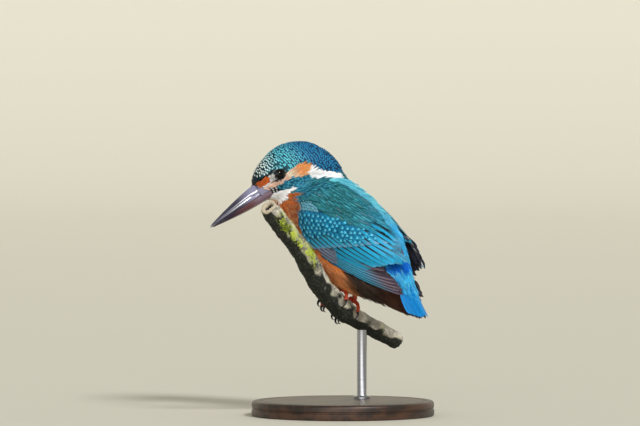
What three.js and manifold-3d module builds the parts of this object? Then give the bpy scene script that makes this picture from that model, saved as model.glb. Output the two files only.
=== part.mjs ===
// A common kingfisher, life size, gripping a short cut length of branch on a plain display stand.
// Millimetres, +Z up. The origin is the centre of the stand's underside. The bird faces -Y, so its left
// side is +X. Its trunk is symmetrical about its own middle plane. Its head is turned to the left, and nods.
import * as THREE from "three";
import { mergeVertices } from "three/addons/utils/BufferGeometryUtils.js";
import Module from "manifold-3d";

const wasm = await Module();
wasm.setup();

// Driving sizes. Places on the bird are from its grip: the point on top of the branch between its feet.
const GRIP = new THREE.Vector3(-7, -3, 60);
const GAP = 0.3; // between neighbouring solids
const HEAD = { at: new THREE.Vector3(15, -31.5, 66.5), turn: 62, nod: 30 };
const BILL = {
  length: 33, lowerShort: 0.7, baseAhead: 17, root: 9, width: 8.2, upperDepth: 5, lowerDepth: 4.5,
};
const EYE = { radius: 4.2, ahead: 4.6, side: 7.6, up: 2.8 };
const TAIL = { width: 12.6, thickness: 1.5, droop: 2.6, rounding: 1.6 };
const WING = { edge: 0.7, middle: 2.4, tuck: 0.8, right: [0, 0.5, -2.5], room: 6 };
const PERCH = { radius: 5.9, swell: 0.035, knots: 0.025 };
// Each foot's place, left and right, is a share of the branch's length.
const FOOT = { toe: 1, claw: 0.75, palm: 2, lift: 1.65, left: 0.39, right: 0.292 };
const LEG = { bare: 1.3, rise: 7, rake: 2.2, inward: 0.6, thigh: [5.4, 6.6, 6.4] };
const STAND = { radius: 48, thickness: 8, chamfer: 1.6, lip: 0.6, rod: 2.6, rodAt: 0.2, socket: 5 };

const V = (x, y, z) => new THREE.Vector3(x, y, z);
const rad = THREE.MathUtils.degToRad;
const mix = THREE.MathUtils.lerp;

// A smooth function through (at, value) pairs, flat outside them.
function through(...pairs) {
  const slope = pairs.map((p, i) => {
    const [a, b] = [pairs[Math.max(i - 1, 0)], pairs[Math.min(i + 1, pairs.length - 1)]];
    return (b[1] - a[1]) / (b[0] - a[0]);
  });
  return (at) => {
    if (at <= pairs[0][0]) return pairs[0][1];
    if (at >= pairs.at(-1)[0]) return pairs.at(-1)[1];
    const i = pairs.findIndex((p) => p[0] > at) - 1;
    const [[x0, y0], [x1, y1]] = [pairs[i], pairs[i + 1]];
    const step = x1 - x0;
    const t = (at - x0) / step;
    const [t2, t3] = [t * t, t * t * t];
    return (
      y0 * (2 * t3 - 3 * t2 + 1) +
      slope[i] * step * (t3 - 2 * t2 + t) +
      y1 * (3 * t2 - 2 * t3) +
      slope[i + 1] * step * (t3 - t2)
    );
  };
}

const route = (...points) => new THREE.CatmullRomCurve3(points.map((p) => V(...p)), false, "centripetal");
const steps = (count) => Array.from({ length: count }, (_, i) => i / (count - 1));

// A closed body over rings of equal length, with a fan over each end.
function loft(rings) {
  const around = rings[0].length;
  const points = rings.flat();
  const faces = [];
  for (let r = 0; r + 1 < rings.length; r++)
    for (let k = 0; k < around; k++) {
      const [a, b] = [r * around + k, r * around + ((k + 1) % around)];
      faces.push(a, b, a + around, b, b + around, a + around);
    }
  for (const [first, turned] of [[0, true], [(rings.length - 1) * around, false]]) {
    const middle = V(0, 0, 0);
    for (let k = 0; k < around; k++) middle.addScaledVector(points[first + k], 1 / around);
    points.push(middle);
    for (let k = 0; k < around; k++) {
      const [a, b] = [first + k, first + ((k + 1) % around)];
      faces.push(...(turned ? [b, a, points.length - 1] : [a, b, points.length - 1]));
    }
  }
  const geometry = new THREE.BufferGeometry().setFromPoints(points);
  geometry.setIndex(faces);
  return geometry;
}

// A three.js geometry as a manifold-3d solid with its faces out, and back again.
function solid(geometry) {
  const bare = geometry.clone();
  for (const name of ["normal", "uv"]) bare.deleteAttribute(name);
  const merged = mergeVertices(bare, 1e-4);
  const vertProperties = new Float32Array(merged.attributes.position.array);
  const triVerts = new Uint32Array(merged.index.array);
  const made = new wasm.Manifold(new wasm.Mesh({ numProp: 3, vertProperties, triVerts }));
  if (made.volume() > 0) return made;
  for (let i = 0; i < triVerts.length; i += 3) triVerts.subarray(i, i + 2).reverse();
  return new wasm.Manifold(new wasm.Mesh({ numProp: 3, vertProperties, triVerts }));
}

function geometryOf(made) {
  const mesh = made.getMesh();
  const geometry = new THREE.BufferGeometry();
  geometry.setAttribute("position", new THREE.BufferAttribute(new Float32Array(mesh.vertProperties), 3));
  geometry.setIndex(new THREE.BufferAttribute(new Uint32Array(mesh.triVerts), 1));
  return geometry;
}

// The largest connected piece of a solid, without the slivers that a cut can leave.
const largest = (made) => made.decompose().sort((a, b) => b.volume() - a.volume())[0];

// A ring in the plane of two unit directions, as an ellipse with its own reach up and down.
function ring(centre, side, up, halfWidth, above, below, count) {
  return Array.from({ length: count }, (_, k) => {
    const angle = (2 * Math.PI * k) / count;
    const rise = Math.sin(angle) * (Math.sin(angle) > 0 ? above : below);
    return centre.clone().addScaledVector(side, Math.cos(angle) * halfWidth).addScaledVector(up, rise);
  });
}

// A tapering tube along a curve.
function tube(curve, radius, { count = 10, sides = 10, lie = V(0, 0, 1) } = {}) {
  return solid(
    loft(
      steps(count).map((s) => {
        const ahead = curve.getTangent(s);
        const out = lie.clone().cross(ahead).normalize();
        return ring(curve.getPoint(s), out, ahead.clone().cross(out), radius(s), radius(s), radius(s), sides);
      }),
    ),
  );
}

// Trunk: rings from a point on the back to its partner on the breast or belly.
const back = route([0, -19, 62], [0, -10, 66], [0, 0, 63.6], [0, 11, 57.2], [0, 21, 49], [0, 28, 41],
  [0, 33, 33], [0, 36.5, 25], [0, 39.5, 15], [0, 42.5, 5], [0, 45, -3]);
const belly = route([0, -27, 52], [0, -32, 43], [0, -30, 32.5], [0, -23.5, 21.5], [0, -14, 12.5],
  [0, -5, 7.5], [0, 4.5, 4.5], [0, 15, 2], [0, 24, -0.8], [0, 32.5, -3.4], [0, 40.5, -5.8]);
const trunkWidth = through([0, 8.5], [0.1, 15.5], [0.2, 18.2], [0.32, 19.2], [0.45, 18.8], [0.55, 17.2],
  [0.65, 14.4], [0.75, 10.8], [0.85, 7.6], [0.93, 5.8], [1, 4.2]);

function trunkBody() {
  return solid(
    loft(
      steps(18).map((s) => {
        const [top, bottom] = [back.getPoint(s), belly.getPoint(s)];
        const up = top.clone().sub(bottom).normalize();
        const half = top.distanceTo(bottom) / 2;
        return ring(top.lerp(bottom, 0.5), V(1, 0, 0), up, trunkWidth(s), half, half, 20);
      }),
    ),
  );
}

// Head: rings from nape to bill, in a frame of its own. There -Y is ahead, and the eyes' middle is near 0.
const headFrame = new THREE.Matrix4()
  .makeRotationFromEuler(new THREE.Euler(rad(HEAD.nod), 0, rad(HEAD.turn), "ZXY"))
  .setPosition(HEAD.at);
const inHead = (side, ahead, up) => V(side, -ahead, up).applyMatrix4(headFrame);
const crown = through([-32.4, -11], [-30.8, -4.6], [-28, 1.2], [-23.5, 6.8], [-18, 10.2], [-12, 12.6],
  [-6, 13.6], [0, 12.9], [5, 11.5], [9.5, 9.7], [13.5, 7.1], [17, 3.2], [18.6, 1.2]);
const throat = through([-32.4, -17], [-30.8, -19.5], [-28, -20.5], [-22, -19], [-12, -16], [0, -13.4],
  [8, -10.6], [14, -8], [18.6, -5.6]);
const headWidth = through([-32.4, 5.6], [-30.8, 9], [-28, 11.4], [-22, 13.2], [-14, 13.8], [-6, 13.3],
  [0, 12.2], [5, 10.9], [10, 8.9], [14, 6.8], [18.6, 4.1]);
const NAPE_END = -32.4;
const FACE_END = 18.6;

function headBody() {
  const rings = steps(18).map((s) => {
    const ahead = mix(NAPE_END, FACE_END, s);
    const [top, bottom, wide] = [crown(ahead), throat(ahead), headWidth(ahead)];
    const middle = mix(bottom, top, 0.47);
    return ring(V(0, -ahead, middle), V(1, 0, 0), V(0, 0, 1), wide, top - middle, middle - bottom, 18);
  });
  return solid(loft(rings).applyMatrix4(headFrame));
}

// Neck: a thick bridge from the breast up into the throat, and a slimmer one from right shoulder to nape.
const neckRoute = route([0, -8, 37], [1, -16, 44.5], [5, -24.5, 53], [7, -26.5, 62]);
const neckRadius = through([0, 14], [0.35, 16], [0.65, 15.8], [1, 11]);
const napeRoute = route([-4, -10, 50], [-7, -15, 58], [-9.5, -19.4, 66], [-10.5, -21.6, 73.5]);
const napeRadius = through([0, 14], [0.35, 12.6], [0.7, 10], [1, 7]);

// The bill's two halves, each a tapering wedge with a rounded back and a flat biting edge.
const billAt = (ahead) => THREE.MathUtils.clamp((ahead - BILL.baseAhead) / BILL.length, 0, 1);
const bite = (ahead) => mix(-2.5, -2.9, billAt(ahead));
function billHalf(direction, depth, length, grow = 0) {
  const rings = steps(9).map((s) => {
    const ahead = mix(BILL.root - grow, BILL.baseAhead + length + grow, s);
    const along = billAt(ahead);
    const taper = 1 - Math.pow(along, direction > 0 ? 1.45 : 1.4);
    const wide = (BILL.width / 2) * (0.96 * taper + 0.045) + grow;
    const deep = depth * (0.95 * taper + 0.07) + grow;
    const edge = bite(ahead) + direction * (GAP / 2 - grow);
    return steps(9).map((k) => {
      const angle = Math.PI * k;
      const rise = Math.pow(Math.sin(angle), 0.85) * deep;
      return V(Math.cos(angle) * wide, -ahead, edge + direction * rise);
    });
  });
  return solid(loft(rings).applyMatrix4(headFrame));
}

function eyeball(side, grow = 0) {
  const ball = new THREE.SphereGeometry(EYE.radius + grow, 14, 9);
  const at = inHead(side * EYE.side, EYE.ahead, EYE.up);
  return solid(ball.translate(at.x, at.y, at.z));
}

// Wings, folded. Each is two blades: arm feathers from shoulder to inner wing, and the long outer
// feathers that show below them. A blade spans from its upper edge to its lower edge.
const armBlade = {
  upper: route([14.5, -17, 53], [12.5, -10, 57.5], [8.5, 0, 59.5], [5.6, 12, 56.5], [4.8, 21.5, 50],
    [4.8, 30, 41.5], [5.6, 38, 31], [6.5, 43.4, 21]),
  lower: route([15.5, -19.5, 49.5], [17.5, -18.5, 42], [18.4, -13, 32], [18.4, -6, 26.8], [18, 1.5, 24],
    [17.2, 9, 22], [16.2, 17, 19], [15, 25, 17.4]),
  bulge: through([0, 2.2], [0.14, 5], [0.3, 7.6], [0.5, 8.6], [0.7, 8], [0.86, 6], [1, 4]),
};
const handBlade = {
  upper: route([17, -6, 30], [17, 6, 28], [14.5, 20, 23], [12.5, 28, 20], [11.4, 34.5, 15.8],
    [10.4, 38.9, 11], [9.3, 41.5, 6.4]),
  lower: route([17.6, -7, 26.6], [17.2, 2, 21.6], [16.2, 10.5, 17.2], [14.6, 19, 12.6], [12.4, 29, 7.8],
    [10.6, 36.8, 4.9], [9.2, 41.3, 4.4]),
  bulge: through([0, 0.8], [0.3, 2], [0.6, 1.6], [1, 0.2]),
};

// With a clearance, the blade becomes the room that it needs: grown by that much, and open to the outside.
function blade({ upper, lower, bulge }, middle, clearance) {
  const line = steps(7);
  const past = 0.03; // how far the room runs on beyond each end, as a share of the blade
  const places = clearance > 0 ? [-past, ...steps(12), 1 + past] : steps(12);
  const rings = places.map((s) => {
    const held = THREE.MathUtils.clamp(s, 0, 1);
    const onEdge = (edge) =>
      edge.getPoint(held).addScaledVector(edge.getTangent(held), (s - held) * edge.getLength());
    const [top, bottom] = [onEdge(upper), onEdge(lower)];
    const chord = bottom.clone().sub(top).normalize();
    const along = upper.getTangent(held).add(lower.getTangent(held)).normalize();
    const out = chord.clone().cross(along).normalize();
    const point = (v, side) => {
      const half = mix(WING.edge, middle * (1 - 0.35 * held), Math.sin(Math.PI * v)) / 2;
      const spare = clearance > 0 && side > 0 ? WING.room : clearance;
      const beyond = v === 0 ? -clearance : v === 1 ? clearance : 0;
      return top.clone().lerp(bottom, v).addScaledVector(chord, beyond)
        .addScaledVector(out, bulge(held) * Math.sin(Math.PI * v) + side * (half + spare));
    };
    return [...line.map((v) => point(v, 1)), ...line.toReversed().map((v) => point(v, -1))];
  });
  return solid(loft(rings));
}

function wing(side, clearance = 0) {
  const hand = blade(handBlade, WING.middle * 0.6, clearance).translate([-WING.tuck, 0, 0]);
  const made = blade(armBlade, WING.middle, clearance).add(hand);
  if (side > 0) return made;
  return made.mirror([1, 0, 0]).translate(WING.right);
}

// Tail: a slightly arched plate with a rounded end, parted at its middle.
const tailLine = route([0, 34, 27], [0, 38, 18], [0, 40.6, 9], [0, 44.2, 0.5], [0, 49, -7.8]);
const tailWidth = through([0, 0.7], [0.3, 0.9], [0.65, 1], [0.9, 0.86], [1, 0.7]);

function tailPlate() {
  const rings = steps(9).map((s) => {
    const at = tailLine.getPoint(s);
    const along = tailLine.getTangent(s);
    const up = V(1, 0, 0).cross(along);
    const half = (TAIL.width / 2) * tailWidth(s);
    const shorter = (v) => (s === 1 ? TAIL.rounding * (2 * Math.abs(v) - 1) ** 2 : 0);
    const point = (v, side) =>
      at.clone().addScaledVector(V(1, 0, 0), v * half).addScaledVector(along, -shorter(v))
        .addScaledVector(up, side * TAIL.thickness / 2 - TAIL.droop * v * v);
    const line = steps(9).map((v) => 2 * v - 1);
    return [...line.map((v) => point(v, 1)), ...line.toReversed().map((v) => point(v, -1))];
  });
  return solid(loft(rings));
}

// Branch: low behind the bird's right foot, rising past its left side to a snapped tip.
const perchRoute = route([-40, 7.4, -22.2], [-26.5, 5, -17], [-13, 2.4, -11.4], [-0.5, 0.4, -6],
  [11, -0.6, 1], [21.8, -1.2, 8.4], [32.1, -0.9, 18], [41.5, -0.5, 26.5], [51.6, -1.6, 35.4],
  [60.5, -3.8, 44.3], [66.8, -5.6, 51]);
const perchTaper = through([0, 0.76], [0.2, 0.84], [0.34, 1], [0.5, 0.98], [0.75, 0.9], [0.95, 0.86],
  [1, 0.78]);
const perchRadius = (s) =>
  PERCH.radius * perchTaper(s) * (1 + PERCH.swell * Math.sin(23 * s) + PERCH.knots * Math.sin(61 * s + 1));
const perchBody = (grow = 0) => tube(perchRoute, (s) => perchRadius(s) + grow, { count: 22, sides: 12 });

// Where a foot stands: the branch's middle there, its line, the way up from it and the way ahead over it.
function footing(at) {
  const along = perchRoute.getTangent(at);
  const ahead = V(0, -1, 0).addScaledVector(along, along.y).normalize();
  return { middle: perchRoute.getPoint(at), along, ahead, up: ahead.clone().cross(along), at };
}

// A point that hugs the branch: turned round it from the top, moved along it, and lifted off its bark.
function hug(foot, turn, shift, lift) {
  const reach = perchRadius(foot.at) + lift;
  return foot.middle.clone().addScaledVector(foot.along, shift)
    .addScaledVector(foot.up, Math.cos(turn) * reach).addScaledVector(foot.ahead, Math.sin(turn) * reach);
}

// Three toes lie side by side over the front of the branch, and the fourth goes down its back.
const TOES = [
  { end: 96, spread: -3.4, width: 0.9 },
  { end: 112, spread: -0.2, width: 1 },
  { end: 100, spread: 2.8, width: 0.92 },
  { end: -92, spread: 0.6, width: 0.95 },
];

function toe(foot, { end, spread, width }) {
  const start = Math.sign(end) * 8;
  const curve = new THREE.CatmullRomCurve3(
    steps(6).map((s) => hug(foot, rad(mix(start, end, s)), spread * Math.pow(s, 0.7), FOOT.lift)),
  );
  return tube(curve, (s) => FOOT.toe * width * mix(1.12, 0.86, s), { count: 6, sides: 5, lie: foot.along });
}

function claw(foot, { end, spread }) {
  const turn = Math.sign(end) * 6;
  const curve = new THREE.CatmullRomCurve3(
    steps(4).map((s) => {
      const away = FOOT.lift + FOOT.claw * 1.2 * Math.sin(Math.PI * s);
      return hug(foot, rad(end + turn + Math.sign(end) * 34 * s), spread, away);
    }),
  );
  return tube(curve, (s) => FOOT.claw * mix(1, 0.34, s), { count: 4, sides: 5, lie: foot.along });
}

function footBody(foot) {
  const palm = new THREE.SphereGeometry(FOOT.palm, 8, 6);
  const at = hug(foot, 0, 0, FOOT.lift + FOOT.toe / 2);
  return TOES.reduce((made, one) => made.add(toe(foot, one)), solid(palm.translate(at.x, at.y, at.z)));
}

// A leg: a bare shank from the foot's palm up into the belly, with a feathered thigh over its upper end.
const heelOf = (foot) => hug(foot, 0, 0, FOOT.lift + FOOT.toe).add(V(0, LEG.rake, 0));
const kneeOf = (foot, side) => heelOf(foot).add(V(-side * LEG.inward, LEG.rake / 2, LEG.rise));

function shank(foot, side, grow = 0) {
  const curve = new THREE.LineCurve3(heelOf(foot), kneeOf(foot, side));
  return tube(curve, (s) => LEG.bare * mix(1, 1.2, s) + grow, { count: 2, sides: 8, lie: V(1, 0, 0) });
}

function thigh(foot, side) {
  const ball = new THREE.SphereGeometry(1, 12, 8).scale(...LEG.thigh);
  const at = kneeOf(foot, side).add(V(-side * 2 * LEG.inward, 1, LEG.thigh[2] / 3));
  return solid(ball.translate(at.x, at.y, at.z));
}

// Everything above as solids that don't touch: each piece's room is cut from the flesh around it.
const [wingLeft, wingRight] = [wing(1), wing(-1)];
const [wingLeftRoom, wingRightRoom] = [wing(1, GAP), wing(-1, GAP)];
const perch = perchBody();
const perchRoom = perchBody(GAP);

const feet = { left: footing(FOOT.left), right: footing(FOOT.right) };
const shanks = { left: shank(feet.left, 1), right: shank(feet.right, -1) };
const footSolids = { left: footBody(feet.left), right: footBody(feet.right) };

// A solid together with copies of itself moved by short steps, as the room that it needs in its neighbour.
const moved = (made, ...ways) => ways.reduce((sum, by) => sum.add(made.translate(by)), made);
const grown = (made) =>
  moved(made, [GAP, 0, 0], [-GAP, 0, 0], [0, GAP, 0], [0, -GAP, 0], [0, 0, GAP], [0, 0, -GAP]);

const legRooms = shank(feet.left, 1, GAP).add(shank(feet.right, -1, GAP))
  .add(grown(footSolids.left)).add(grown(footSolids.right));
const flesh = trunkBody().add(headBody()).add(tube(neckRoute, neckRadius, { count: 9, sides: 20 }))
  .add(tube(napeRoute, napeRadius, { count: 6, sides: 14 }))
  .add(thigh(feet.left, 1)).add(thigh(feet.right, -1))
  .subtract(wingLeftRoom).subtract(wingRightRoom).subtract(perchRoom).subtract(legRooms);

// The flesh is parted by flat cuts across the neck: what lies ahead of a cut, less half the gap.
function ahead(point, normal) {
  const size = 200; // larger than the bird
  const slab = new THREE.BoxGeometry(size, size, size).translate(0, 0, size / 2 + GAP / 2);
  const turn = new THREE.Quaternion().setFromUnitVectors(V(0, 0, 1), normal.clone().normalize());
  return solid(slab.applyQuaternion(turn).translate(point.x, point.y, point.z));
}
const behind = (point, normal) => ahead(point, normal.clone().multiplyScalar(-1));

const nape = { at: inHead(0, -15, -9), way: inHead(0, 0.8, 0.85).sub(inHead(0, 0, 0)) };
const shoulders = { at: V(0, -15, 55.5), way: V(0.1, -0.62, 0.95) };
const rump = { at: V(0, 33, 15), way: V(0, 0.62, -0.78) };

const bills = {
  upper: billHalf(1, BILL.upperDepth, BILL.length),
  lower: billHalf(-1, BILL.lowerDepth, BILL.length - BILL.lowerShort),
};
const billRoom = billHalf(1, BILL.upperDepth, BILL.length, GAP)
  .add(billHalf(-1, BILL.lowerDepth, BILL.length, GAP));

const fore = flesh.intersect(ahead(shoulders.at, shoulders.way));
const head = fore.intersect(ahead(nape.at, nape.way)).subtract(billRoom)
  .subtract(eyeball(1, GAP)).subtract(eyeball(-1, GAP));
const neck = fore.intersect(behind(nape.at, nape.way));

// The rump and tail are one piece: the plate with its coverts above and below.
const rear = flesh.intersect(ahead(rump.at, rump.way));
const tail = rear.add(tailPlate()).intersect(ahead(rump.at, rump.way))
  .subtract(wingLeftRoom).subtract(wingRightRoom);
const trunk = flesh.intersect(behind(shoulders.at, shoulders.way)).intersect(behind(rump.at, rump.way));

// Stand: a round base with a chamfered rim, and a rod that fits its socket and meets the branch from below.
function standBase() {
  const { radius, thickness, chamfer, lip } = STAND;
  const outline = [[0, 0], [radius - lip, 0], [radius, lip], [radius, thickness - chamfer],
    [radius - chamfer, thickness], [0, thickness]];
  const disc = new THREE.LatheGeometry(outline.map(([r, z]) => new THREE.Vector2(r, z)), 40);
  return solid(disc.rotateX(Math.PI / 2));
}

const rodTop = perchRoute.getPoint(STAND.rodAt).add(GRIP);
function standRod(grow = 0) {
  const floor = STAND.thickness - STAND.socket + GAP - grow;
  const rod = new THREE.CylinderGeometry(STAND.rod + grow, STAND.rod + grow, rodTop.z - floor, 16);
  return solid(rod.rotateX(Math.PI / 2).translate(rodTop.x, rodTop.y, (rodTop.z + floor) / 2));
}

// Materials, by what a piece is made of.
const finish = (color, roughness, metalness = 0) =>
  new THREE.MeshStandardMaterial({ color, roughness, metalness });
const MATERIALS = {
  plumage: finish(0x1f8f9e, 0.6),
  wing: finish(0x1b7f93, 0.5),
  tail: finish(0x1a78c8, 0.45),
  breast: finish(0xc8702c, 0.75),
  bill: finish(0x1c1a24, 0.3),
  eye: finish(0x0a0808, 0.05),
  leg: finish(0xc8401e, 0.5),
  claw: finish(0x1a1614, 0.4),
  bark: finish(0x5c5342, 0.9),
  base: finish(0x2b1c12, 0.35),
  rod: finish(0x8a8a8c, 0.35, 1),
};

const kingfisher = new THREE.Group();
const bird = new THREE.Group();
bird.position.copy(GRIP);
const stand = new THREE.Group();
kingfisher.add(bird, stand);

function place(group, name, made, material) {
  const mesh = new THREE.Mesh(geometryOf(made), MATERIALS[material]);
  mesh.name = name;
  group.add(mesh);
}

place(bird, "head", largest(head), "plumage");
place(bird, "neck", largest(neck), "plumage");
place(bird, "trunk", largest(trunk), "breast");
place(bird, "tail", largest(tail), "tail");
place(bird, "wing_left", largest(wingLeft), "wing");
place(bird, "wing_right", largest(wingRight), "wing");
place(bird, "bill_upper", bills.upper, "bill");
place(bird, "bill_lower", bills.lower, "bill");
place(bird, "eye_left", eyeball(1), "eye");
place(bird, "eye_right", eyeball(-1), "eye");
for (const side of ["left", "right"]) {
  const bare = shanks[side].subtract(grown(footSolids[side])).subtract(perchRoom);
  place(bird, `leg_${side}`, largest(bare), "leg");
  place(bird, `foot_${side}`, footSolids[side], "leg");
  TOES.forEach((one, i) => place(bird, `claw_${side}_${i + 1}`, claw(feet[side], one), "claw"));
}
place(bird, "perch", perch, "bark");
place(stand, "stand_base", standBase().subtract(standRod(GAP)), "base");
place(stand, "stand_rod", largest(standRod().subtract(perchRoom.translate(GRIP.toArray()))), "rod");

export default kingfisher;
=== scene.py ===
# A common kingfisher on a short cut branch, held by a plain display stand.
# Lengths are millimetres, and the bird's own places are from its grip on the branch.
import math

import bpy
import numpy as np
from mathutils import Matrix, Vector, noise
from mathutils.bvhtree import BVHTree


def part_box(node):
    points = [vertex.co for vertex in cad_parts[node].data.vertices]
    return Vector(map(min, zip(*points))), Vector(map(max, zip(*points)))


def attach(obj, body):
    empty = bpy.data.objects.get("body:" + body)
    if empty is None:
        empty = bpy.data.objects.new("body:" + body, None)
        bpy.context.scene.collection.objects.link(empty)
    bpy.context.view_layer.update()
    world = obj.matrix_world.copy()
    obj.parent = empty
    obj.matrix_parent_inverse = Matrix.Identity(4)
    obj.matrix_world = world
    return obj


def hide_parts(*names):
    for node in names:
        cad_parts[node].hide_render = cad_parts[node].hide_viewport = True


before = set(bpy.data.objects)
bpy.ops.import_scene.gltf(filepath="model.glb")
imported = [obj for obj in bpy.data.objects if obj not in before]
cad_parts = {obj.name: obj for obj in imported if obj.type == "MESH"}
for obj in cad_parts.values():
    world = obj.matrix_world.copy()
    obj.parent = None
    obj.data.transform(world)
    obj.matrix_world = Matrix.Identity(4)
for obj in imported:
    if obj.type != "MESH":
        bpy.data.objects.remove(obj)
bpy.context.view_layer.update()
rng = np.random.default_rng(11)
mm = 0.001
grip = Vector((-7, -3, 60))  # top of the branch between the feet


# Colours are written as they look, and turned into the linear light that shaders use.
def tone(code):
    parts = [int(code[i:i + 2], 16) / 255 for i in (1, 3, 5)]
    return np.array([p / 12.92 if p < 0.04045 else ((p + 0.055) / 1.055) ** 2.4 for p in parts])


def smooth(low, high, value):
    t = min(max((value - low) / (high - low), 0), 1)
    return t * t * (3 - 2 * t)


def mix(a, b, share):
    return a + (b - a) * share


def through(*pairs):
    at, value = zip(*pairs)
    return lambda x: float(np.interp(x, at, value))


# A curve through points, eased as the solids' own curves are.
def route(*points):
    pts = [Vector(p) for p in points]
    pts = [pts[0] * 2 - pts[1], *pts, pts[-1] * 2 - pts[-2]]

    def place(share):
        spans = len(pts) - 3
        at = min(max(share, 0), 1) * spans
        i = min(int(at), spans - 1)
        p = pts[i:i + 4]
        gap = [max((p[j + 1] - p[j]).length ** 0.5, 1e-4) for j in range(3)]
        turnIn = (p[1] - p[0]) / gap[0] - (p[2] - p[0]) / (gap[0] + gap[1]) + (p[2] - p[1]) / gap[1]
        turnOut = (p[2] - p[1]) / gap[1] - (p[3] - p[1]) / (gap[1] + gap[2]) + (p[3] - p[2]) / gap[2]
        t = at - i
        return (p[1] * (2 * t**3 - 3 * t**2 + 1) + turnIn * gap[1] * (t**3 - 2 * t**2 + t)
                + p[2] * (3 * t**2 - 2 * t**3) + turnOut * gap[1] * (t**3 - t**2))

    return place


def headingOf(curve, share, step=0.004):
    return (curve(min(share + step, 1)) - curve(max(share - step, 0))).normalized()


# Makes an object from points in millimetres. Faces come in blocks of equal corner count.
def makeObject(name, points, blocks, sharpAt=None, origin=grip):
    mesh = bpy.data.meshes.new(name)
    places = (np.asarray(points, np.float64).reshape(-1, 3) + np.array(origin)) * mm
    mesh.vertices.add(len(places))
    mesh.vertices.foreach_set("co", places.astype(np.float32).ravel())
    corners = np.concatenate([np.asarray(b, np.int32).ravel() for b in blocks])
    sizes = np.concatenate([np.full(len(b), np.asarray(b).shape[1], np.int32) for b in blocks])
    mesh.loops.add(len(corners))
    mesh.loops.foreach_set("vertex_index", corners)
    mesh.polygons.add(len(sizes))
    mesh.polygons.foreach_set("loop_start", np.concatenate([[0], np.cumsum(sizes)[:-1]]).astype(np.int32))
    mesh.polygons.foreach_set("use_smooth", np.ones(len(sizes), bool))
    mesh.update(calc_edges=True)
    if sharpAt:
        mesh.set_sharp_from_angle(angle=math.radians(sharpAt))
    obj = bpy.data.objects.new(name, mesh)
    bpy.context.scene.collection.objects.link(obj)
    return obj


def finishPiece(obj, material, replaced=()):
    obj.data.materials.clear()
    obj.data.materials.append(material)
    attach(obj, "root")
    if replaced:
        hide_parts(*replaced)


def paint(obj, layer, colours):
    attribute = obj.data.color_attributes.new(layer, "FLOAT_COLOR", "POINT")
    attribute.data.foreach_set("color", np.asarray(colours, np.float32).ravel())


def setMap(obj, layer, places):
    corner = np.empty(len(obj.data.loops), np.int32)
    obj.data.loops.foreach_get("vertex_index", corner)
    uv = obj.data.uv_layers.new(name=layer)
    uv.data.foreach_set("uv", np.asarray(places, np.float32)[corner].ravel())


def turnsOf(sides):
    return [2 * math.pi * k / sides for k in range(sides)]


# Quads between rings of points that follow one another.
def ringFaces(rings, sides, first=0, inward=False, closed=False):
    quads = []
    for r in range(rings if closed else rings - 1):
        step = sides if r + 1 < rings else -r * sides
        for k in range(sides):
            a, b = first + r * sides + k, first + r * sides + (k + 1) % sides
            quads.append((a, a + step, b + step, b) if inward else (a, b, b + step, a + step))
    return quads


# Closed tubes over rings of places, each with its radius by share along and turn around, in one object.
def tubeObject(name, tubes, sides):
    points, quads, caps = [], [], []
    for places, radius, lie in tubes:
        first, count = len(points), len(places)
        for i, at in enumerate(places):
            ahead = (places[min(i + 1, count - 1)] - places[max(i - 1, 0)]).normalized()
            side = lie.cross(ahead).normalized()
            up = ahead.cross(side)
            for turn in turnsOf(sides):
                reach = radius(i / (count - 1), turn)
                points.append(at + side * (math.cos(turn) * reach) + up * (math.sin(turn) * reach))
        quads += ringFaces(count, sides, first)
        caps.append(tuple(range(first + sides - 1, first - 1, -1)))
        caps.append(tuple(range(first + (count - 1) * sides, first + count * sides)))
    return makeObject(name, points, [quads, caps])


# A solid of revolution about Z from (radius, height) pairs that start and end on the axis.
def turnedObject(name, outline, centre, sides=96):
    points = [(0, 0, outline[0][1])]
    for radius, height in outline[1:-1]:
        points += [(radius * math.cos(turn), radius * math.sin(turn), height) for turn in turnsOf(sides)]
    points.append((0, 0, outline[-1][1]))
    rings, last = len(outline) - 2, len(points) - 1
    ends = []
    for k in range(sides):
        nextK = (k + 1) % sides
        ends.append((0, 1 + nextK, 1 + k))
        ends.append((last, last - sides + k, last - sides + nextK))
    return makeObject(name, points, [ringFaces(rings, sides, 1), ends], sharpAt=30, origin=centre)


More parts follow.
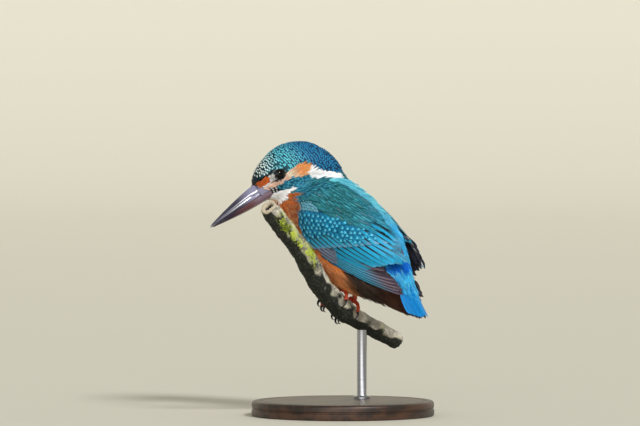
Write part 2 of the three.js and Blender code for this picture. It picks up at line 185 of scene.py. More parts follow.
# Material making: values may be numbers, colours, colour codes or sockets.
class Finish:
    def __init__(self, name, rough, **settings):
        self.material = bpy.data.materials.new(name)
        self.material.use_nodes = True
        self.tree = self.material.node_tree
        self.tree.nodes.clear()
        self.shader = self.node("BsdfPrincipled")
        self.shader.inputs["Roughness"].default_value = rough
        for socketName, value in settings.items():
            self.shader.inputs[socketName.replace("_", " ")].default_value = value
        self.link(self.node("OutputMaterial").inputs[0], self.shader.outputs[0])

    def node(self, kind, **settings):
        made = self.tree.nodes.new("ShaderNode" + kind)
        for key, value in settings.items():
            setattr(made, key, value)
        return made

    def link(self, socket, value):
        value = tone(value) if isinstance(value, str) else value
        if isinstance(value, bpy.types.NodeSocket):
            self.tree.links.new(value, socket)
        elif hasattr(socket.default_value, "__len__") and len(value) < len(socket.default_value):
            socket.default_value = (*value, 1)
        else:
            socket.default_value = value

    def calc(self, operation, *values):
        made = self.node("Math", operation=operation)
        for socket, value in zip(made.inputs, values):
            self.link(socket, value)
        return made.outputs[0]

    def times(self, a, b):
        return self.calc("MULTIPLY", a, b)

    def plus(self, a, b):
        return self.calc("ADD", a, b)

    # 0 below low and 1 above high, or the other way round
    def step(self, value, low, high):
        made = self.node("MapRange", interpolation_type="SMOOTHSTEP")
        self.link(made.inputs[0], value)
        limits = (low, high, 0, 1) if low < high else (high, low, 1, 0)
        for socket, limit in zip(list(made.inputs)[1:5], limits):
            socket.default_value = limit
        return made.outputs[0]

    def blend(self, share, a, b, way="MIX"):
        made = self.node("Mix", data_type="RGBA", blend_type=way)
        self.link(made.inputs[0], share)
        self.link(made.inputs[6], a)
        self.link(made.inputs[7], b)
        return made.outputs[2]

    def noise(self, scale, detail=3, stretch=None):
        made = self.node("TexNoise")
        made.inputs["Scale"].default_value = scale
        made.inputs["Detail"].default_value = detail
        place = self.node("TexCoord").outputs["Object"]
        if stretch:
            mapping = self.node("Mapping")
            mapping.inputs["Scale"].default_value = stretch
            self.link(mapping.inputs[0], place)
            place = mapping.outputs[0]
        self.link(made.inputs["Vector"], place)
        return made.outputs[0]

    def layer(self, name):
        made = self.node("Attribute", attribute_name=name)
        return made.outputs["Color"], made.outputs["Alpha"]

    def colour(self, value):
        self.link(self.shader.inputs["Base Color"], value)

    def bump(self, height, strength, distance):
        made = self.node("Bump")
        made.inputs["Strength"].default_value = strength
        made.inputs["Distance"].default_value = distance * mm
        self.link(made.inputs["Height"], height)
        self.link(self.shader.inputs["Normal"], made.outputs[0])


# The head's own directions come from its eyes, and its nod.
headLook = {"nod": 30, "eyeAhead": 4.6, "eyeUp": 2.8}


def middleOf(node):
    low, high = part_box(node)
    return (low + high) / 2 / mm - grip


eyeMiddles = {"left": middleOf("eye_left"), "right": middleOf("eye_right")}
headLeft = (eyeMiddles["left"] - eyeMiddles["right"]).normalized()
nod = math.radians(headLook["nod"])
headAhead = Vector((headLeft.y * math.cos(nod), -headLeft.x * math.cos(nod), -math.sin(nod)))
headUp = headAhead.cross(headLeft)
headAt = ((eyeMiddles["left"] + eyeMiddles["right"]) / 2
          - headAhead * headLook["eyeAhead"] - headUp * headLook["eyeUp"])
headCore = headAt - headAhead * 4 - headUp * 2


def inHead(side, ahead, up):
    return headAt + headLeft * side + headAhead * ahead + headUp * up


# Angle away from the bill, angle round from the crown's middle, and distance from the head's core.
def headChart(place):
    away = place - headCore
    side, ahead, up = away.dot(headLeft), away.dot(headAhead), away.dot(headUp)
    reach = away.length
    return math.degrees(math.acos(ahead / reach)), math.degrees(math.atan2(abs(side), up)), reach


def headRay(polar, around):
    polar, around = math.radians(polar), math.radians(around)
    return (headAhead * math.cos(polar) + headLeft * (math.sin(polar) * math.sin(around))
            + headUp * (math.sin(polar) * math.cos(around)))


def readNode(name):
    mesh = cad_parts[name].data
    places = np.empty(len(mesh.vertices) * 3, np.float32)
    mesh.vertices.foreach_get("co", places)
    return places.reshape(-1, 3) / mm - np.array(grip), [tuple(p.vertices) for p in mesh.polygons]


# One skin over all the flesh: swollen to close the cuts, joined, remeshed, eased, and sunk by the coat's
# depth.
skinLook = {"flesh": ("head", "neck", "trunk", "tail", "wing_left", "wing_right"), "swell": 0.35,
            "voxel": 0.75, "ease": 8, "depth": 0.95, "faceDepth": 0.6, "thinShare": 0.32,
            # the down's near black is painted shade between the feathers
            "down": (0.01, 0.01, 0.012)}
eyeLook = {"radius": 4.2, "opening": 2.9, "lid": 0.3, "rim": 0.13, "rimWide": 0.26, "raise": 0.12,
           "socket": 5.4, "sunk": 1.2, "pupil": "#040303", "iris": ("#0d0705", "#1a0e09"),
           "lidSkin": ("#07080b", "#1a1f26")}
eyeWays = {"left": (headLeft + headUp * eyeLook["raise"]).normalized(),
           "right": (headUp * eyeLook["raise"] - headLeft).normalized()}


# How far a place near an eye is from its middle, and from the line that it looks along.
def eyeReach(place):
    side = min(eyeMiddles, key=lambda name: (place - eyeMiddles[name]).length)
    gap = place - eyeMiddles[side]
    return gap.length, (gap - eyeWays[side] * gap.dot(eyeWays[side])).length, gap.dot(eyeWays[side])


def makeSkin():
    points, faces = [], []
    for name in (*skinLook["flesh"], "eye_left", "eye_right"):
        places, corners = readNode(name)
        normals = np.zeros_like(places)
        for corner in corners:
            flat = np.cross(places[corner[1]] - places[corner[0]], places[corner[2]] - places[corner[0]])
            for i in corner:
                normals[i] += flat
        # glTF splits the corners of flat faces, so corners at one place share their normal
        keys = [tuple(np.round(p, 3)) for p in places]
        total = {}
        for key, normal in zip(keys, normals):
            total[key] = total.get(key, 0) + normal
        normals = np.array([total[key] for key in keys])
        normals /= np.linalg.norm(normals, axis=1, keepdims=True) + 1e-9
        first = len(points)
        points += list(places + normals * skinLook["swell"])
        faces += [tuple(i + first for i in corner) for corner in corners]
    raw = makeObject("skin_raw", points, [faces])
    modifier = raw.modifiers.new("skin", "REMESH")
    modifier.mode = "VOXEL"
    modifier.voxel_size = skinLook["voxel"] * mm
    mesh = bpy.data.meshes.new_from_object(raw.evaluated_get(bpy.context.evaluated_depsgraph_get()))
    bpy.data.objects.remove(raw)
    places = np.empty(len(mesh.vertices) * 3)
    mesh.vertices.foreach_get("co", places)
    places = places.reshape(-1, 3) / mm - np.array(grip)
    edges = np.empty(len(mesh.edges) * 2, np.int32)
    mesh.edges.foreach_get("vertices", edges)
    edges = edges.reshape(-1, 2)
    for turn in range(skinLook["ease"]):
        places = eased(places, edges, 0.5)
    faces = [tuple(p.vertices) for p in mesh.polygons]
    outer = BVHTree.FromPolygons([Vector(p) for p in places], faces)
    normals = normalsOf(places, faces)
    depth = np.empty(len(places))
    for i, (place, normal) in enumerate(zip(places, normals)):
        at, up = Vector(place), Vector(normal)
        hit = outer.ray_cast(at - up * 0.05, -up)
        thick = hit[3] if hit[0] else 20
        coat = mix(skinLook["faceDepth"], skinLook["depth"], smooth(20, 70, headChart(at)[0]))
        flesh = max(thick - 2 * skinLook["swell"], 0.1)
        depth[i] = min(coat, skinLook["thinShare"] * flesh) + skinLook["swell"]
    for turn in range(4):
        depth = eased(depth[:, None], edges, 0.5)[:, 0]
    for i, place in enumerate(places):
        away, aside, out = eyeReach(Vector(place))
        if away < eyeLook["socket"] and out > 0:
            cover = eyeLook["radius"] + eyeLook["lid"] * 0.4
            sunk = eyeLook["radius"] - eyeLook["sunk"]
            lid = away - mix(sunk, cover, smooth(eyeLook["opening"] - 0.2, eyeLook["opening"] + 0.5, aside))
            depth[i] = mix(min(lid, depth[i] + 3), depth[i], smooth(4.4, eyeLook["socket"], away))
    sunk = places - normals * depth[:, None]
    skin = makeObject("skin", sunk, [faces])
    bpy.data.meshes.remove(mesh)
    return skin, sunk, faces


def eased(values, edges, share):
    total = np.zeros_like(values)
    count = np.zeros((len(values), 1))
    for a, b in ((0, 1), (1, 0)):
        np.add.at(total, edges[:, a], values[edges[:, b]])
        np.add.at(count, edges[:, a], 1)
    return values * (1 - share) + total / np.maximum(count, 1) * share


def normalsOf(places, faces):
    quads = np.array([f if len(f) == 4 else (*f, f[2]) for f in faces])
    flat = np.cross(places[quads[:, 2]] - places[quads[:, 0]], places[quads[:, 3]] - places[quads[:, 1]])
    normals = np.zeros_like(places)
    for k in range(4):
        np.add.at(normals, quads[:, k], flat)
    return normals / (np.linalg.norm(normals, axis=1, keepdims=True) + 1e-9)


skin, skinPlaces, skinFaces = makeSkin()
skinNormals = normalsOf(skinPlaces, skinFaces)
skinTree = BVHTree.FromPolygons([Vector(p) for p in skinPlaces], skinFaces)
print("skin:", len(skinFaces), "faces")

# The skin is unwrapped by its own shape, and each vane's patch lies on that map at its root.
bpy.context.view_layer.objects.active = skin
skin.select_set(True)
bpy.ops.object.mode_set(mode="EDIT")
bpy.ops.mesh.select_all(action="SELECT")
bpy.ops.uv.smart_project(angle_limit=math.radians(66), island_margin=0.004)
bpy.ops.object.mode_set(mode="OBJECT")
skin.select_set(False)
skin.data.uv_layers[0].name = "OFBake"
skinMap = np.empty(len(skin.data.loops) * 2)
skin.data.uv_layers[0].data.foreach_get("uv", skinMap)
skinMap = skinMap.reshape(-1, 2)
firstLoop = np.empty(len(skin.data.polygons), np.int32)
skin.data.polygons.foreach_get("loop_start", firstLoop)


def placeOnMap(point, face):
    corners = skinFaces[face]
    near = 1 / (np.linalg.norm(skinPlaces[list(corners)] - np.array(point), axis=1) + 0.02)
    start = firstLoop[face]
    return (skinMap[start:start + len(corners)] * near[:, None]).sum(0) / near.sum()


def nearestUp(place):
    near, flat, face, away = skinTree.find_nearest(place)
    corners = list(skinFaces[face])
    weight = 1 / (np.linalg.norm(skinPlaces[corners] - np.array(near), axis=1) + 0.05)
    return near, Vector((skinNormals[corners] * weight[:, None]).sum(0)).normalized(), face


# Half width along a vane, as a share of its widest: it widens from the root and rounds off at the tip.
def rounded(widen, base, ease, begin, span, bow, least):
    return lambda s: (np.minimum((s / widen + base) ** ease, 1)
                      * np.sqrt(np.clip(1 - ((s - begin) / span).clip(0) ** bow, least, 1)))


vaneShapes = {
    "round": rounded(0.3, 0.1, 0.6, 0.6, 0.4, 2.4, 0.01),
    "soft": rounded(0.35, 0.08, 0.7, 0.4, 0.6, 1.8, 0.008),
    "blade": rounded(0.15, 0.2, 0.6, 0.8, 0.2, 2.6, 0.01),
    "hair": lambda s: np.minimum(s / 0.2 + 0.3, 1) * (1 - s) ** 0.7 + 0.05,
}


def unit(vectors):
    return vectors / (np.linalg.norm(vectors, axis=-1, keepdims=True) + 1e-9)


# Stations along a vane, closer together towards its tip.
def stations(count, ease=1.35):
    return 1 - (1 - np.linspace(0, 1, count)) ** ease


# Walks each vane over the skin from its root, lifting from root to tip.
def walkOver(roots, count):
    share = stations(count)
    paths = np.empty((len(roots), count, 3))
    ups = np.empty((len(roots), count, 3))
    for n, root in enumerate(roots):
        at, way = root["at"], root["way"]
        for i in range(count):
            near, up, face = nearestUp(at)
            way = (way - up * way.dot(up)).normalized()
            paths[n, i] = near + up * (root["low"] + (root["high"] - root["low"]) * share[i])
            ups[n, i] = up
            if i + 1 < count:
                at = near + way * (root["length"] * (share[i + 1] - share[i]))
    ups[:, 1:-1] = unit(ups[:, :-2] + ups[:, 1:-1] + ups[:, 2:])
    return paths, ups, share


# Closed thin vanes along their paths. Half widths to the left and right are given by vane and station.
def vaneParts(paths, ups, share, left, right, look, first=0):
    count, stops = paths.shape[:2]
    ahead = unit(np.gradient(paths, axis=1))
    side = unit(np.cross(ahead, ups))
    ups = np.cross(side, ahead)
    columns = look.get("columns", 3)
    across = np.linspace(-1, 1, columns)
    turns = np.concatenate([across, across[1:-1][::-1]])
    isTop = np.concatenate([np.ones(columns), -np.ones(columns - 2)])
    reach = np.where(turns[None, None] < 0, left[..., None], right[..., None])
    thick = look.get("thick", 0.09) * (1 - np.abs(turns)) * np.where(isTop > 0, 1, -0.4)
    drop = (look.get("tilt", 0) * turns - look.get("camber", 0.22) * turns**2) * reach
    points = (paths[:, :, None] + side[:, :, None] * (turns * reach)[..., None]
              + ups[:, :, None] * (thick + drop)[..., None])
    ring = len(turns)
    index = np.arange(count * stops * ring).reshape(count, stops, ring) + first
    a, b = index[:, :-1], np.roll(index, -1, axis=2)[:, :-1]
    quads = np.stack([a, b, np.roll(index, -1, axis=2)[:, 1:], index[:, 1:]], -1).reshape(-1, 4)
    caps = np.concatenate([index[:, 0, ::-1], index[:, -1]])
    places = np.stack(np.broadcast_arrays((turns * 0.5 + 0.5)[None, None], share[None, :, None]), -1)
    places = np.broadcast_to(places, (count, stops, ring, 2))
    return points.reshape(-1, 3), quads, caps, places


# One mesh from sets of vanes: their shapes, their tints and markings, and their places on both maps.
def makeVanes(name, sets, material):
    points, quads, caps, vaneMap, bakeMap, tints, marks = [], [], [], [], [], [], []
    total = 0
    for one in sets:
        made, q, c, places = vaneParts(*one["shape"], first=total)
        count, stops, ring = places.shape[:3]
        points.append(made)
        quads.append(q)
        caps.append(c)
        total += len(made)
        if one.get("turned"):
            places = np.stack([1 - places[..., 0], places[..., 1]], -1)
        low, high = one.get("span", (0, 1))
        vaneMap.append((places * (1, high - low) + (0, low)).reshape(-1, 2))
        patch = one["patch"][:, None, None] + (places - 0.5) * one.get("patchSize", 0.003)
        bakeMap.append(patch.reshape(-1, 2))
        for store, colours in ((tints, one["tint"]), (marks, one["mark"])):
            colours = colours[:, None, None] if colours.ndim == 2 else colours[:, :, None]
            if colours.shape[-1] == 3:
                colours = np.concatenate([colours, np.ones_like(colours[..., :1])], -1)
            colours = np.broadcast_to(colours, (count, stops, ring, 4)).copy()
            if "under" in one:
                colours[:, :, ring // 2 + 1:, :3] = one["under"]
            store.append(colours.reshape(-1, 4))
    sizes = sorted({c.shape[1] for c in caps})
    ends = [np.concatenate([c for c in caps if c.shape[1] == size]) for size in sizes]
    blocks = [np.concatenate(quads), *ends]
    obj = makeObject(name, np.concatenate(points), blocks, sharpAt=50)
    setMap(obj, "vane", np.concatenate(vaneMap))
    setMap(obj, "OFBake", np.concatenate(bakeMap))
    paint(obj, "tint", np.concatenate(tints))
    paint(obj, "mark", np.concatenate(marks))
    finishPiece(obj, material)
    triangles = sum(len(b) * (b.shape[1] - 2) for b in blocks)
    print(name, len(caps[0]) // 2, "vanes,", triangles, "triangles")


# One set of vanes for such a mesh. The half widths are the same on both sides unless two are given.
def vaneSet(paths, ups, share, half, look, patches, tints, marks, **more):
    left, right = half if isinstance(half, tuple) else (half, half)
    return {"shape": (np.array(paths), np.array(ups), share, left, right, look),
            "patch": np.array(patches), "tint": np.array(tints), "mark": np.array(marks), **more}


# Lays vanes from their roots: a body each, and a fringe of fine barbs beyond it where the look has one.
def layCoat(name, roots, look, material):
    count = look.get("stations", 5)
    paths, ups, share = walkOver(roots, count)
    shape = vaneShapes[look.get("shape", "round")](share)
    half = np.array([root["width"] / 2 for root in roots])[:, None] * shape[None]
    if look.get("notch"):
        half = half * (1 - look["notch"] * rng.random(half.shape) * (share > 0.4))
    common = [[root[key] for root in roots] for key in ("patch", "tint", "mark")]
    sets = [vaneSet(paths, ups, share, half, look, *common)]
    barbs = look.get("fringe")
    if barbs:
        sets += fringeOf(paths, ups, share, half, barbs, common)
    makeVanes(name, sets, material)


# Fine barbs that run on past each vane's edge.
def fringeOf(paths, ups, share, half, barbs, common):
    side = unit(np.cross(np.gradient(paths, axis=1), ups))
    ahead = unit(np.gradient(paths, axis=1))
    widest = half.max(1)
    length = np.linalg.norm(paths[:, -1] - paths[:, 0], axis=1)
    steps = np.linspace(0, 1, 3)
    made = []
    for k in range(barbs["count"]):
        lean = (2 * (k + 0.5) / barbs["count"] - 1) + rng.normal(0, 0.08, len(paths))
        start = barbs["start"] * (1 - 0.35 * np.abs(lean))
        reach = (1 + barbs["reach"] * (1 - 0.6 * lean**2) * (0.7 + 0.6 * rng.random(len(paths)))) - start
        at = start[:, None] + reach[:, None] * steps[None]
        inside = np.clip(at, 0, 1)
        slot = np.clip(np.searchsorted(share, inside.ravel()) - 1, 0, len(share) - 2).reshape(inside.shape)
        part = (inside - share[slot]) / (share[slot + 1] - share[slot])
        rows = np.arange(len(paths))[:, None]
        place = paths[rows, slot] * (1 - part[..., None]) + paths[rows, slot + 1] * part[..., None]
        up = ups[rows, slot + 1]
        beyond = (at - inside) * length[:, None]
        out = lean[:, None] * widest[:, None] * (0.55 + barbs["spread"] * steps[None])
        lift = barbs["lift"] * steps[None] ** 1.5 * (0.6 + 0.8 * rng.random((len(paths), 1)))
        place = (place + ahead[rows, slot + 1] * beyond[..., None] + side[rows, slot + 1] * out[..., None]
                 + up * (lift + 0.03 * k)[..., None])
        thin = barbs["width"] * vaneShapes["hair"](steps)[None] * np.ones((len(paths), 1))
        hair = {"thick": barbs["width"] * 0.6, "camber": 0.1}
        made.append(vaneSet(place, up, steps, thin, hair, *common, span=(0.55, 1)))
    return made


# A feather's finish. The vane map's first axis runs across it and its second from root to tip.
plainFeather = {"rough": 0.55, "sheen": 0.03, "gloss": 0.22, "grain": 900, "barbs": 14, "slant": 3,
                "barbDepth": 0.25, "root": (0.05, 0.45), "rootShade": 0.35, "mottle": 0.5, "bump": 0.35,
                "quillShade": "#3a3a48"}


def featherFinish(name, look):
    look = {**plainFeather, **look}
    finish = Finish(name, look["rough"], Sheen_Weight=look["sheen"], Sheen_Roughness=0.4,
                    Specular_IOR_Level=look["gloss"])
    tint = finish.layer("tint")[0]
    mark, strength = finish.layer("mark")
    split = finish.node("SeparateXYZ")
    finish.link(split.inputs[0], finish.node("UVMap", uv_map="vane").outputs[0])
    u, v = split.outputs[0], split.outputs[1]
    across = finish.times(finish.calc("ABSOLUTE", finish.calc("SUBTRACT", u, 0.5)), 2)
    wobble = finish.noise(look["grain"], 2)
    slant = finish.calc("SUBTRACT", finish.times(v, look["barbs"]), finish.times(across, look["slant"]))
    slant = finish.plus(slant, finish.times(wobble, 1.2))
    barb = finish.calc("MULTIPLY_ADD", finish.calc("SINE", finish.times(slant, 2 * math.pi)), 0.5, 0.5)
    dark = finish.blend(1, tint, [look["rootShade"]] * 3, "MULTIPLY")
    colour = finish.blend(finish.step(v, *look["root"]), dark, tint)
    if "band" in look:
        at, half, soft, wide, bend = look["band"]
        bow = finish.calc("MULTIPLY_ADD", finish.times(across, across), bend, v)
        away = finish.calc("ABSOLUTE", finish.calc("SUBTRACT", bow, at))
        mask = finish.times(finish.step(away, half + soft, half), finish.step(across, wide + 0.15, wide))
        colour = finish.blend(finish.times(mask, strength), colour, mark)
    if "streak" in look:
        shaft = finish.step(across, look["streak"] + 0.08, look["streak"])
        colour = finish.blend(finish.times(shaft, strength), colour, mark)
    if "webs" in look:
        inner = finish.step(u, look["webs"] + 0.03, look["webs"] - 0.03)
        colour = finish.blend(inner, colour, mark)
        quill = finish.step(across, look["quill"] * 2, look["quill"])
        colour = finish.blend(quill, colour, look["quillShade"])
    light = finish.calc("MULTIPLY_ADD", barb, -look["barbDepth"], 1)
    mottle = look["mottle"]
    light = finish.times(light, finish.calc("MULTIPLY_ADD", wobble, mottle, 1 - mottle / 2))
    shade = finish.node("CombineColor")
    for socket in shade.inputs:
        finish.link(socket, light)
    finish.colour(finish.blend(1, colour, shade.outputs[0], "MULTIPLY"))
    finish.bump(barb, look["bump"], 0.05)
    return finish.material


# The plumage's colours, as they look.
dyes = {name: tone(code) for name, code in {
    "crownDark": "#0b2a36", "brow": "#1c5663", "napeDark": "#093a5c", "browBar": "#eafaf2",
    "crownBar": "#64d6e6", "napeBar": "#2093c8", "lore": "#14181c", "rust": "#d96a28", "peach": "#ffe6cf",
    "ear": "#ffac58", "white": "#fdfbf9", "grey": "#4c5a62", "teal": "#21708f", "tealBar": "#4fb4d0",
    # the vent and undertail dyes are the orange underparts darkened by painted shade, the vent nearly black
    "buff": "#dcae84", "breast": "#c66d36", "belly": "#f7964a", "shadedVent": "#21140f", "undertail": "#52311f",
    "mantle": "#2a7a80", "mantleBlue": "#2b96b8", "strip": "#74e2fb", "glint": "#aef0fc",
    # the royal blue is painted shade: the rump's azure where the wing tips shade it
    "stripBlue": "#3cc0fc", "royal": "#107ae8", "covert": "#1180ac", "spot": "#5ccff2",
    "edgeGreen": "#86c6d2", "greater": "#2ba4cc", "lilac": "#8b9ab8", "second": "#18a4d2", "web": "#10222c",
    "primary": "#3fa4cc", "brown": "#735f6c", "brownDark": "#3a2f3b", "lilacDark": "#6c7c92",
    "tertial": "#2b93ba", "underWing": "#5f525b", "tail": "#0a7bc2", "tailEdge": "#62c4f4",
    "horn": "#a09dba",
}.items()}


def between(first, second, share):
    return mix(dyes[first], dyes[second], min(max(share, 0), 1))


# Where the head's markings part: angles round from the crown, by angles away from the bill.
crownEdge = through((8, 10), (17, 18), (23, 31), (30, 36), (40, 43), (54, 49), (62, 57), (68, 65), (76, 69),
                    (84, 70.5), (100, 69.5), (116, 73), (126, 85), (132, 103), (139, 123), (142, 137),
                    (146, 150), (150, 156))
stripeEdge = through((15, 82), (25, 85), (36, 86), (57, 87), (73, 87), (92, 95), (113, 105), (125, 123),
                     (130, 130), (136, 138), (145, 146))
throatEdge = through((15, 112), (24, 112), (36, 115), (48, 116), (65, 118.5), (86, 119.5), (90, 119.5))
# The bill's bare base reaches this far, by angles round.
baseEdge = through((30, 12), (55, 15.5), (75, 18.5), (95, 20), (112, 20.5), (125, 16), (140, 13))
# The throat's white ends, and the rust beyond it, at these angles away from the bill, by angles round.
whiteEnd = through((112, 97), (117, 88), (120, 81), (122, 73), (125, 65), (131, 57), (139, 51), (146, 45),
                   (174, 34))
rustEnd = through((112, 97), (117, 90), (120, 84), (122, 78), (125, 73), (128, 70), (132, 69), (143, 67.5),
                  (174, 64))
# The folded wing's front and lower edge: height by distance back.
wingLine = through((-19, 50), (-16, 40), (-12.5, 32), (-7.3, 25.8), (1.5, 21.6), (10.2, 17.1), (18, 12.6),
                   (28, 7.6), (41, 4.7), (50, 0))

# Half the width of the back's pale strip, by distance back.
stripWidth = through((-12, 0.5), (-4, 4.2), (5, 4.2), (20, 4.2), (33, 6.5), (45, 8))

# Where the tail's blue ends and the brown below begins: distance back by height.
tailLine = through((-8, 46.7), (-3, 41), (2, 35.8), (8, 33), (20, 29.5), (30, 27), (60, 27))

# Each tract's vanes: how far apart, how long and wide, how far they stand from the skin at root and tip,
# and how much they vary.
tracts = {name: dict(zip(("gap", "length", "width", "low", "high", "unrest"), row)) for name, row in {
    "crown": (1.3, 3.6, 1.75, 0.15, 0.75, 0.75),
    "lore": (0.75, 1.9, 0.8, 0.1, 0.4, 0.8),
    "ear": (0.85, 3.2, 1.2, 0.15, 0.6, 0.7),
    "white": (0.95, 4.0, 1.5, 0.2, 0.7, 0.7),
    "cheek": (1.15, 3.2, 1.7, 0.15, 0.75, 1),
    "throat": (0.95, 3.4, 1.5, 0.15, 0.6, 0.7),
    "neck": (1.25, 4.2, 2.0, 0.2, 0.95, 1),
    "breast": (1.35, 6.0, 2.2, 0.2, 1.05, 1),
    "belly": (1.5, 7.5, 2.6, 0.2, 1.2, 1),
    "shadedVent": (1.5, 7.5, 2.2, 0.2, 1.3, 1),
    "undertail": (1.5, 9.0, 2.8, 0.2, 1.1, 1),
    "mantle": (1.35, 5.5, 2.2, 0.2, 1.0, 1),
    "strip": (1.3, 6.5, 1.9, 0.25, 1.15, 1),
    "rump": (1.4, 8.0, 2.4, 0.25, 1.1, 1),
}.items()}


def treeOf(*nodes):
    points, faces = [], []
    for name in nodes:
        places, corners = readNode(name)
        faces += [tuple(i + len(points) for i in corner) for corner in corners]
        points += [Vector(p) for p in places]
    return BVHTree.FromPolygons(points, faces)


fleshTree = treeOf("head", "neck", "trunk", "tail")
wingTree = treeOf("wing_left", "wing_right")


def onWing(place):
    return wingTree.find_nearest(place)[3] < fleshTree.find_nearest(place)[3] + 0.5


# Marks of the face: tract, dye, marking and its strength, where each begins and ends away from the bill,
# and how far round it reaches.
faceMarks = (("lore", "rust", "lore", 0.3, 0, 34, 62), ("lore", "white", "white", 0, 0, 47, 70),
             ("lore", "grey", "lore", 0.3, 34, 60, 76))
# The rump's band of painted shade under the wing tips, and the lines and directions by which the body's
# tracts part.
bodyMarks = {"royal": (15, 20.5), "rumpShadeSide": -3.2, "tailSide": 5.6, "tailUp": Vector((0, 0.9, 0.4)),
             "backUp": Vector((0, 0.6, 0.8)), "neckStrip": 5.5}


def wearing(tract, tint, marking, strength):
    return tract, dyes[tint] if isinstance(tint, str) else tint, dyes[marking], strength


def headPlumage(polar, around, place):
    if around < crownEdge(polar) or polar > 150:
        dark = between("crownDark", "napeDark", (polar - 70) / 50)
        bar = (between("browBar", "crownBar", (polar - 45 + around * 0.5) / 45) if polar < 85
               else between("crownBar", "napeBar", (polar - 98) / 36))
        dark = mix(dark, dyes["brow"], smooth(20, 42, around) * smooth(92, 75, polar))
        if around > crownEdge(polar) - 2 and polar < 50:  # a dark line under the brow
            return wearing("lore", "lore", "lore", 0)
        return "crown", dark, bar, mix(1, 0.8, smooth(80, 110, polar)) * (1 - 0.25 * rng.random())
    if around < stripeEdge(polar) and polar < 146:
        if polar > 113 + max(101 - around, 0):  # the white patch on the neck's side
            return wearing("white", "white", "white", 0)
        if polar < 15 or (polar < 47 and around < crownEdge(polar) + 5):
            return wearing("lore", "lore", "lore", 0)
        for tract, dye, marking, strength, begin, end, reach in faceMarks:
            if begin < polar < end and around < reach:
                return wearing(tract, dye, marking, strength)
        if polar < 68:
            return wearing("ear", between("peach", "rust", 0.3), "white", 0.3)
        return wearing("ear", between("peach", "ear", (polar - 76) / 28), "peach", 0.3)
    if around < throatEdge(polar):
        if polar < 36:
            return wearing("cheek", "lore", "white", 0.75)
        return wearing("cheek", between("crownDark", "teal", (polar - 36) / 20), "tealBar", 1)
    if polar < whiteEnd(around):
        return wearing("throat", between("white", "buff", (around - 150) / 25), "white", 0.3)
    if polar < rustEnd(around) or (place.y < -19.3 and around > 124):
        return wearing("breast", "breast", "buff", 0.7)
    if place.y > -6 and abs(place.x) < bodyMarks["neckStrip"]:
        return wearing("strip", "strip", "glint", 0.5)
    return wearing("neck", between("teal", "mantle", (polar - 80) / 40), "tealBar", 0.7)


# The tract, colour, marking colour and marking strength at a place on the skin.
def plumageAt(place, up):
    polar, around, reach = headChart(place)
    onHead = (place - inHead(0, -15, -9)).dot(headAhead * 0.8 + headUp * 0.85) > 0
    x, y, z = place
    if onHead or (z > 50 and polar < 148 and reach < 30) or (z > 66 and y < -6):
        return headPlumage(polar, around, place)
    upward, tailward = up.dot(bodyMarks["backUp"]), up.dot(bodyMarks["tailUp"])
    besideTail = z < 12 and abs(x) > bodyMarks["tailSide"]
    if y > tailLine(z) and tailward > mix(0.2, -0.35, smooth(10, 20, z)) and not besideTail:
        low, high = bodyMarks["royal"]
        # painted shade: a deeper blue under the wing tips, on the left side and across the middle
        if low < z < high and x > bodyMarks["rumpShadeSide"]:
            return wearing("rump", "royal", "stripBlue", 0.1)
        blue = between("stripBlue", "strip", 0.35 * rng.random() ** 2)
        return wearing("rump", blue, "glint", 0.9 * rng.random() ** 2)
    if (z < wingLine(y) + 1.5 and upward < 0.55) or (y < 0 and upward < 0.2 and (z < 44 or y < -17)):
        # painted shade: under the body the feathers darken from the belly's orange towards near black at
        # the vent
        if y > 26:
            return wearing("undertail", between("undertail", "shadedVent", (30 - y) / 6), "buff", 0.25)
        if y > 8 and z < 14:
            return wearing("shadedVent", between("belly", "shadedVent", (y - 3) / 10.5), "buff", 0.3)
        if z > 30:
            return wearing("breast", between("breast", "belly", (45 - z) / 20), "buff", 0.6)
        return wearing("belly", between("belly", "breast", (abs(x) - 12) / 8), "buff", 0.5)
    if abs(x) < stripWidth(y):
        pale = mix(1, 0.4, smooth(18, 32, y)) * rng.random() ** 0.6
        return wearing("strip", between("strip", "stripBlue", (y - 18) / 24), "glint", pale)
    return wearing("mantle", between("mantle", "mantleBlue", (y - 5) / 25), "tealBar", 0.5)


# The ways that feathers lie on the body, tail and breast, and under the belly from its front to its back.
billRoot = inHead(0, 13, -2)
coatWays = {"body": Vector((0, 0.72, -0.69)), "tail": Vector((0, 0.45, -0.89)),
            "breast": Vector((0, 0.15, -1)), "belly": (Vector((0, 0.95, -0.3)), Vector((0, 0.62, -0.78)))}


# The way that the coat lies: away from the bill on the head, and on to the tail over the body.
def wayAt(place, up):
    away = (place - billRoot).normalized()
    way = mix(away, coatWays["body"], smooth(13, 30, (place - headCore).length))
    if place.y < -5 and place.z < 50:
        way = mix(way, coatWays["breast"], smooth(-5, -22, place.y) * 0.7)
    onTail = smooth(-3, 3, place.y - tailLine(place.z))
    if place.z < 12 and place.y > -5:
        ahead = mix(*coatWays["belly"], smooth(18, 31, place.y))
        way = mix(way, ahead, smooth(12, 4, place.z) * 0.8 * (1 - onTail))
    way = mix(way, coatWays["tail"], onTail * smooth(24, 34, place.y))
    for eye in eyeMiddles.values():  # round the eyes
        gap = place - eye
        if gap.length < 8:
            inward = -gap.normalized()
            if way.dot(inward) > 0:
                way -= inward * way.dot(inward) * smooth(8, 5, gap.length) * 0.9
    return (way - up * way.dot(up)).normalized()


# A feather wears the colours of the place where its end shows, not of its root.
def featherAt(place, up):
    look = tracts[plumageAt(place, up)[0]]
    near, out, face = nearestUp(place + wayAt(place, up) * (look["length"] - look["gap"] * 0.5))
    return plumageAt(near, out)


# How much a feather's lie, length, shade, width and lift vary, and how it shortens beside an eye, and where
# the skin folds away or the wing covers it.
variety = {"parts": (0.07, 0.08, 0.1, 0.08, 0.15), "besideEye": 0.5, "folded": 0.6, "tuckedHigh": 0.3,
           "brightest": 0.96}


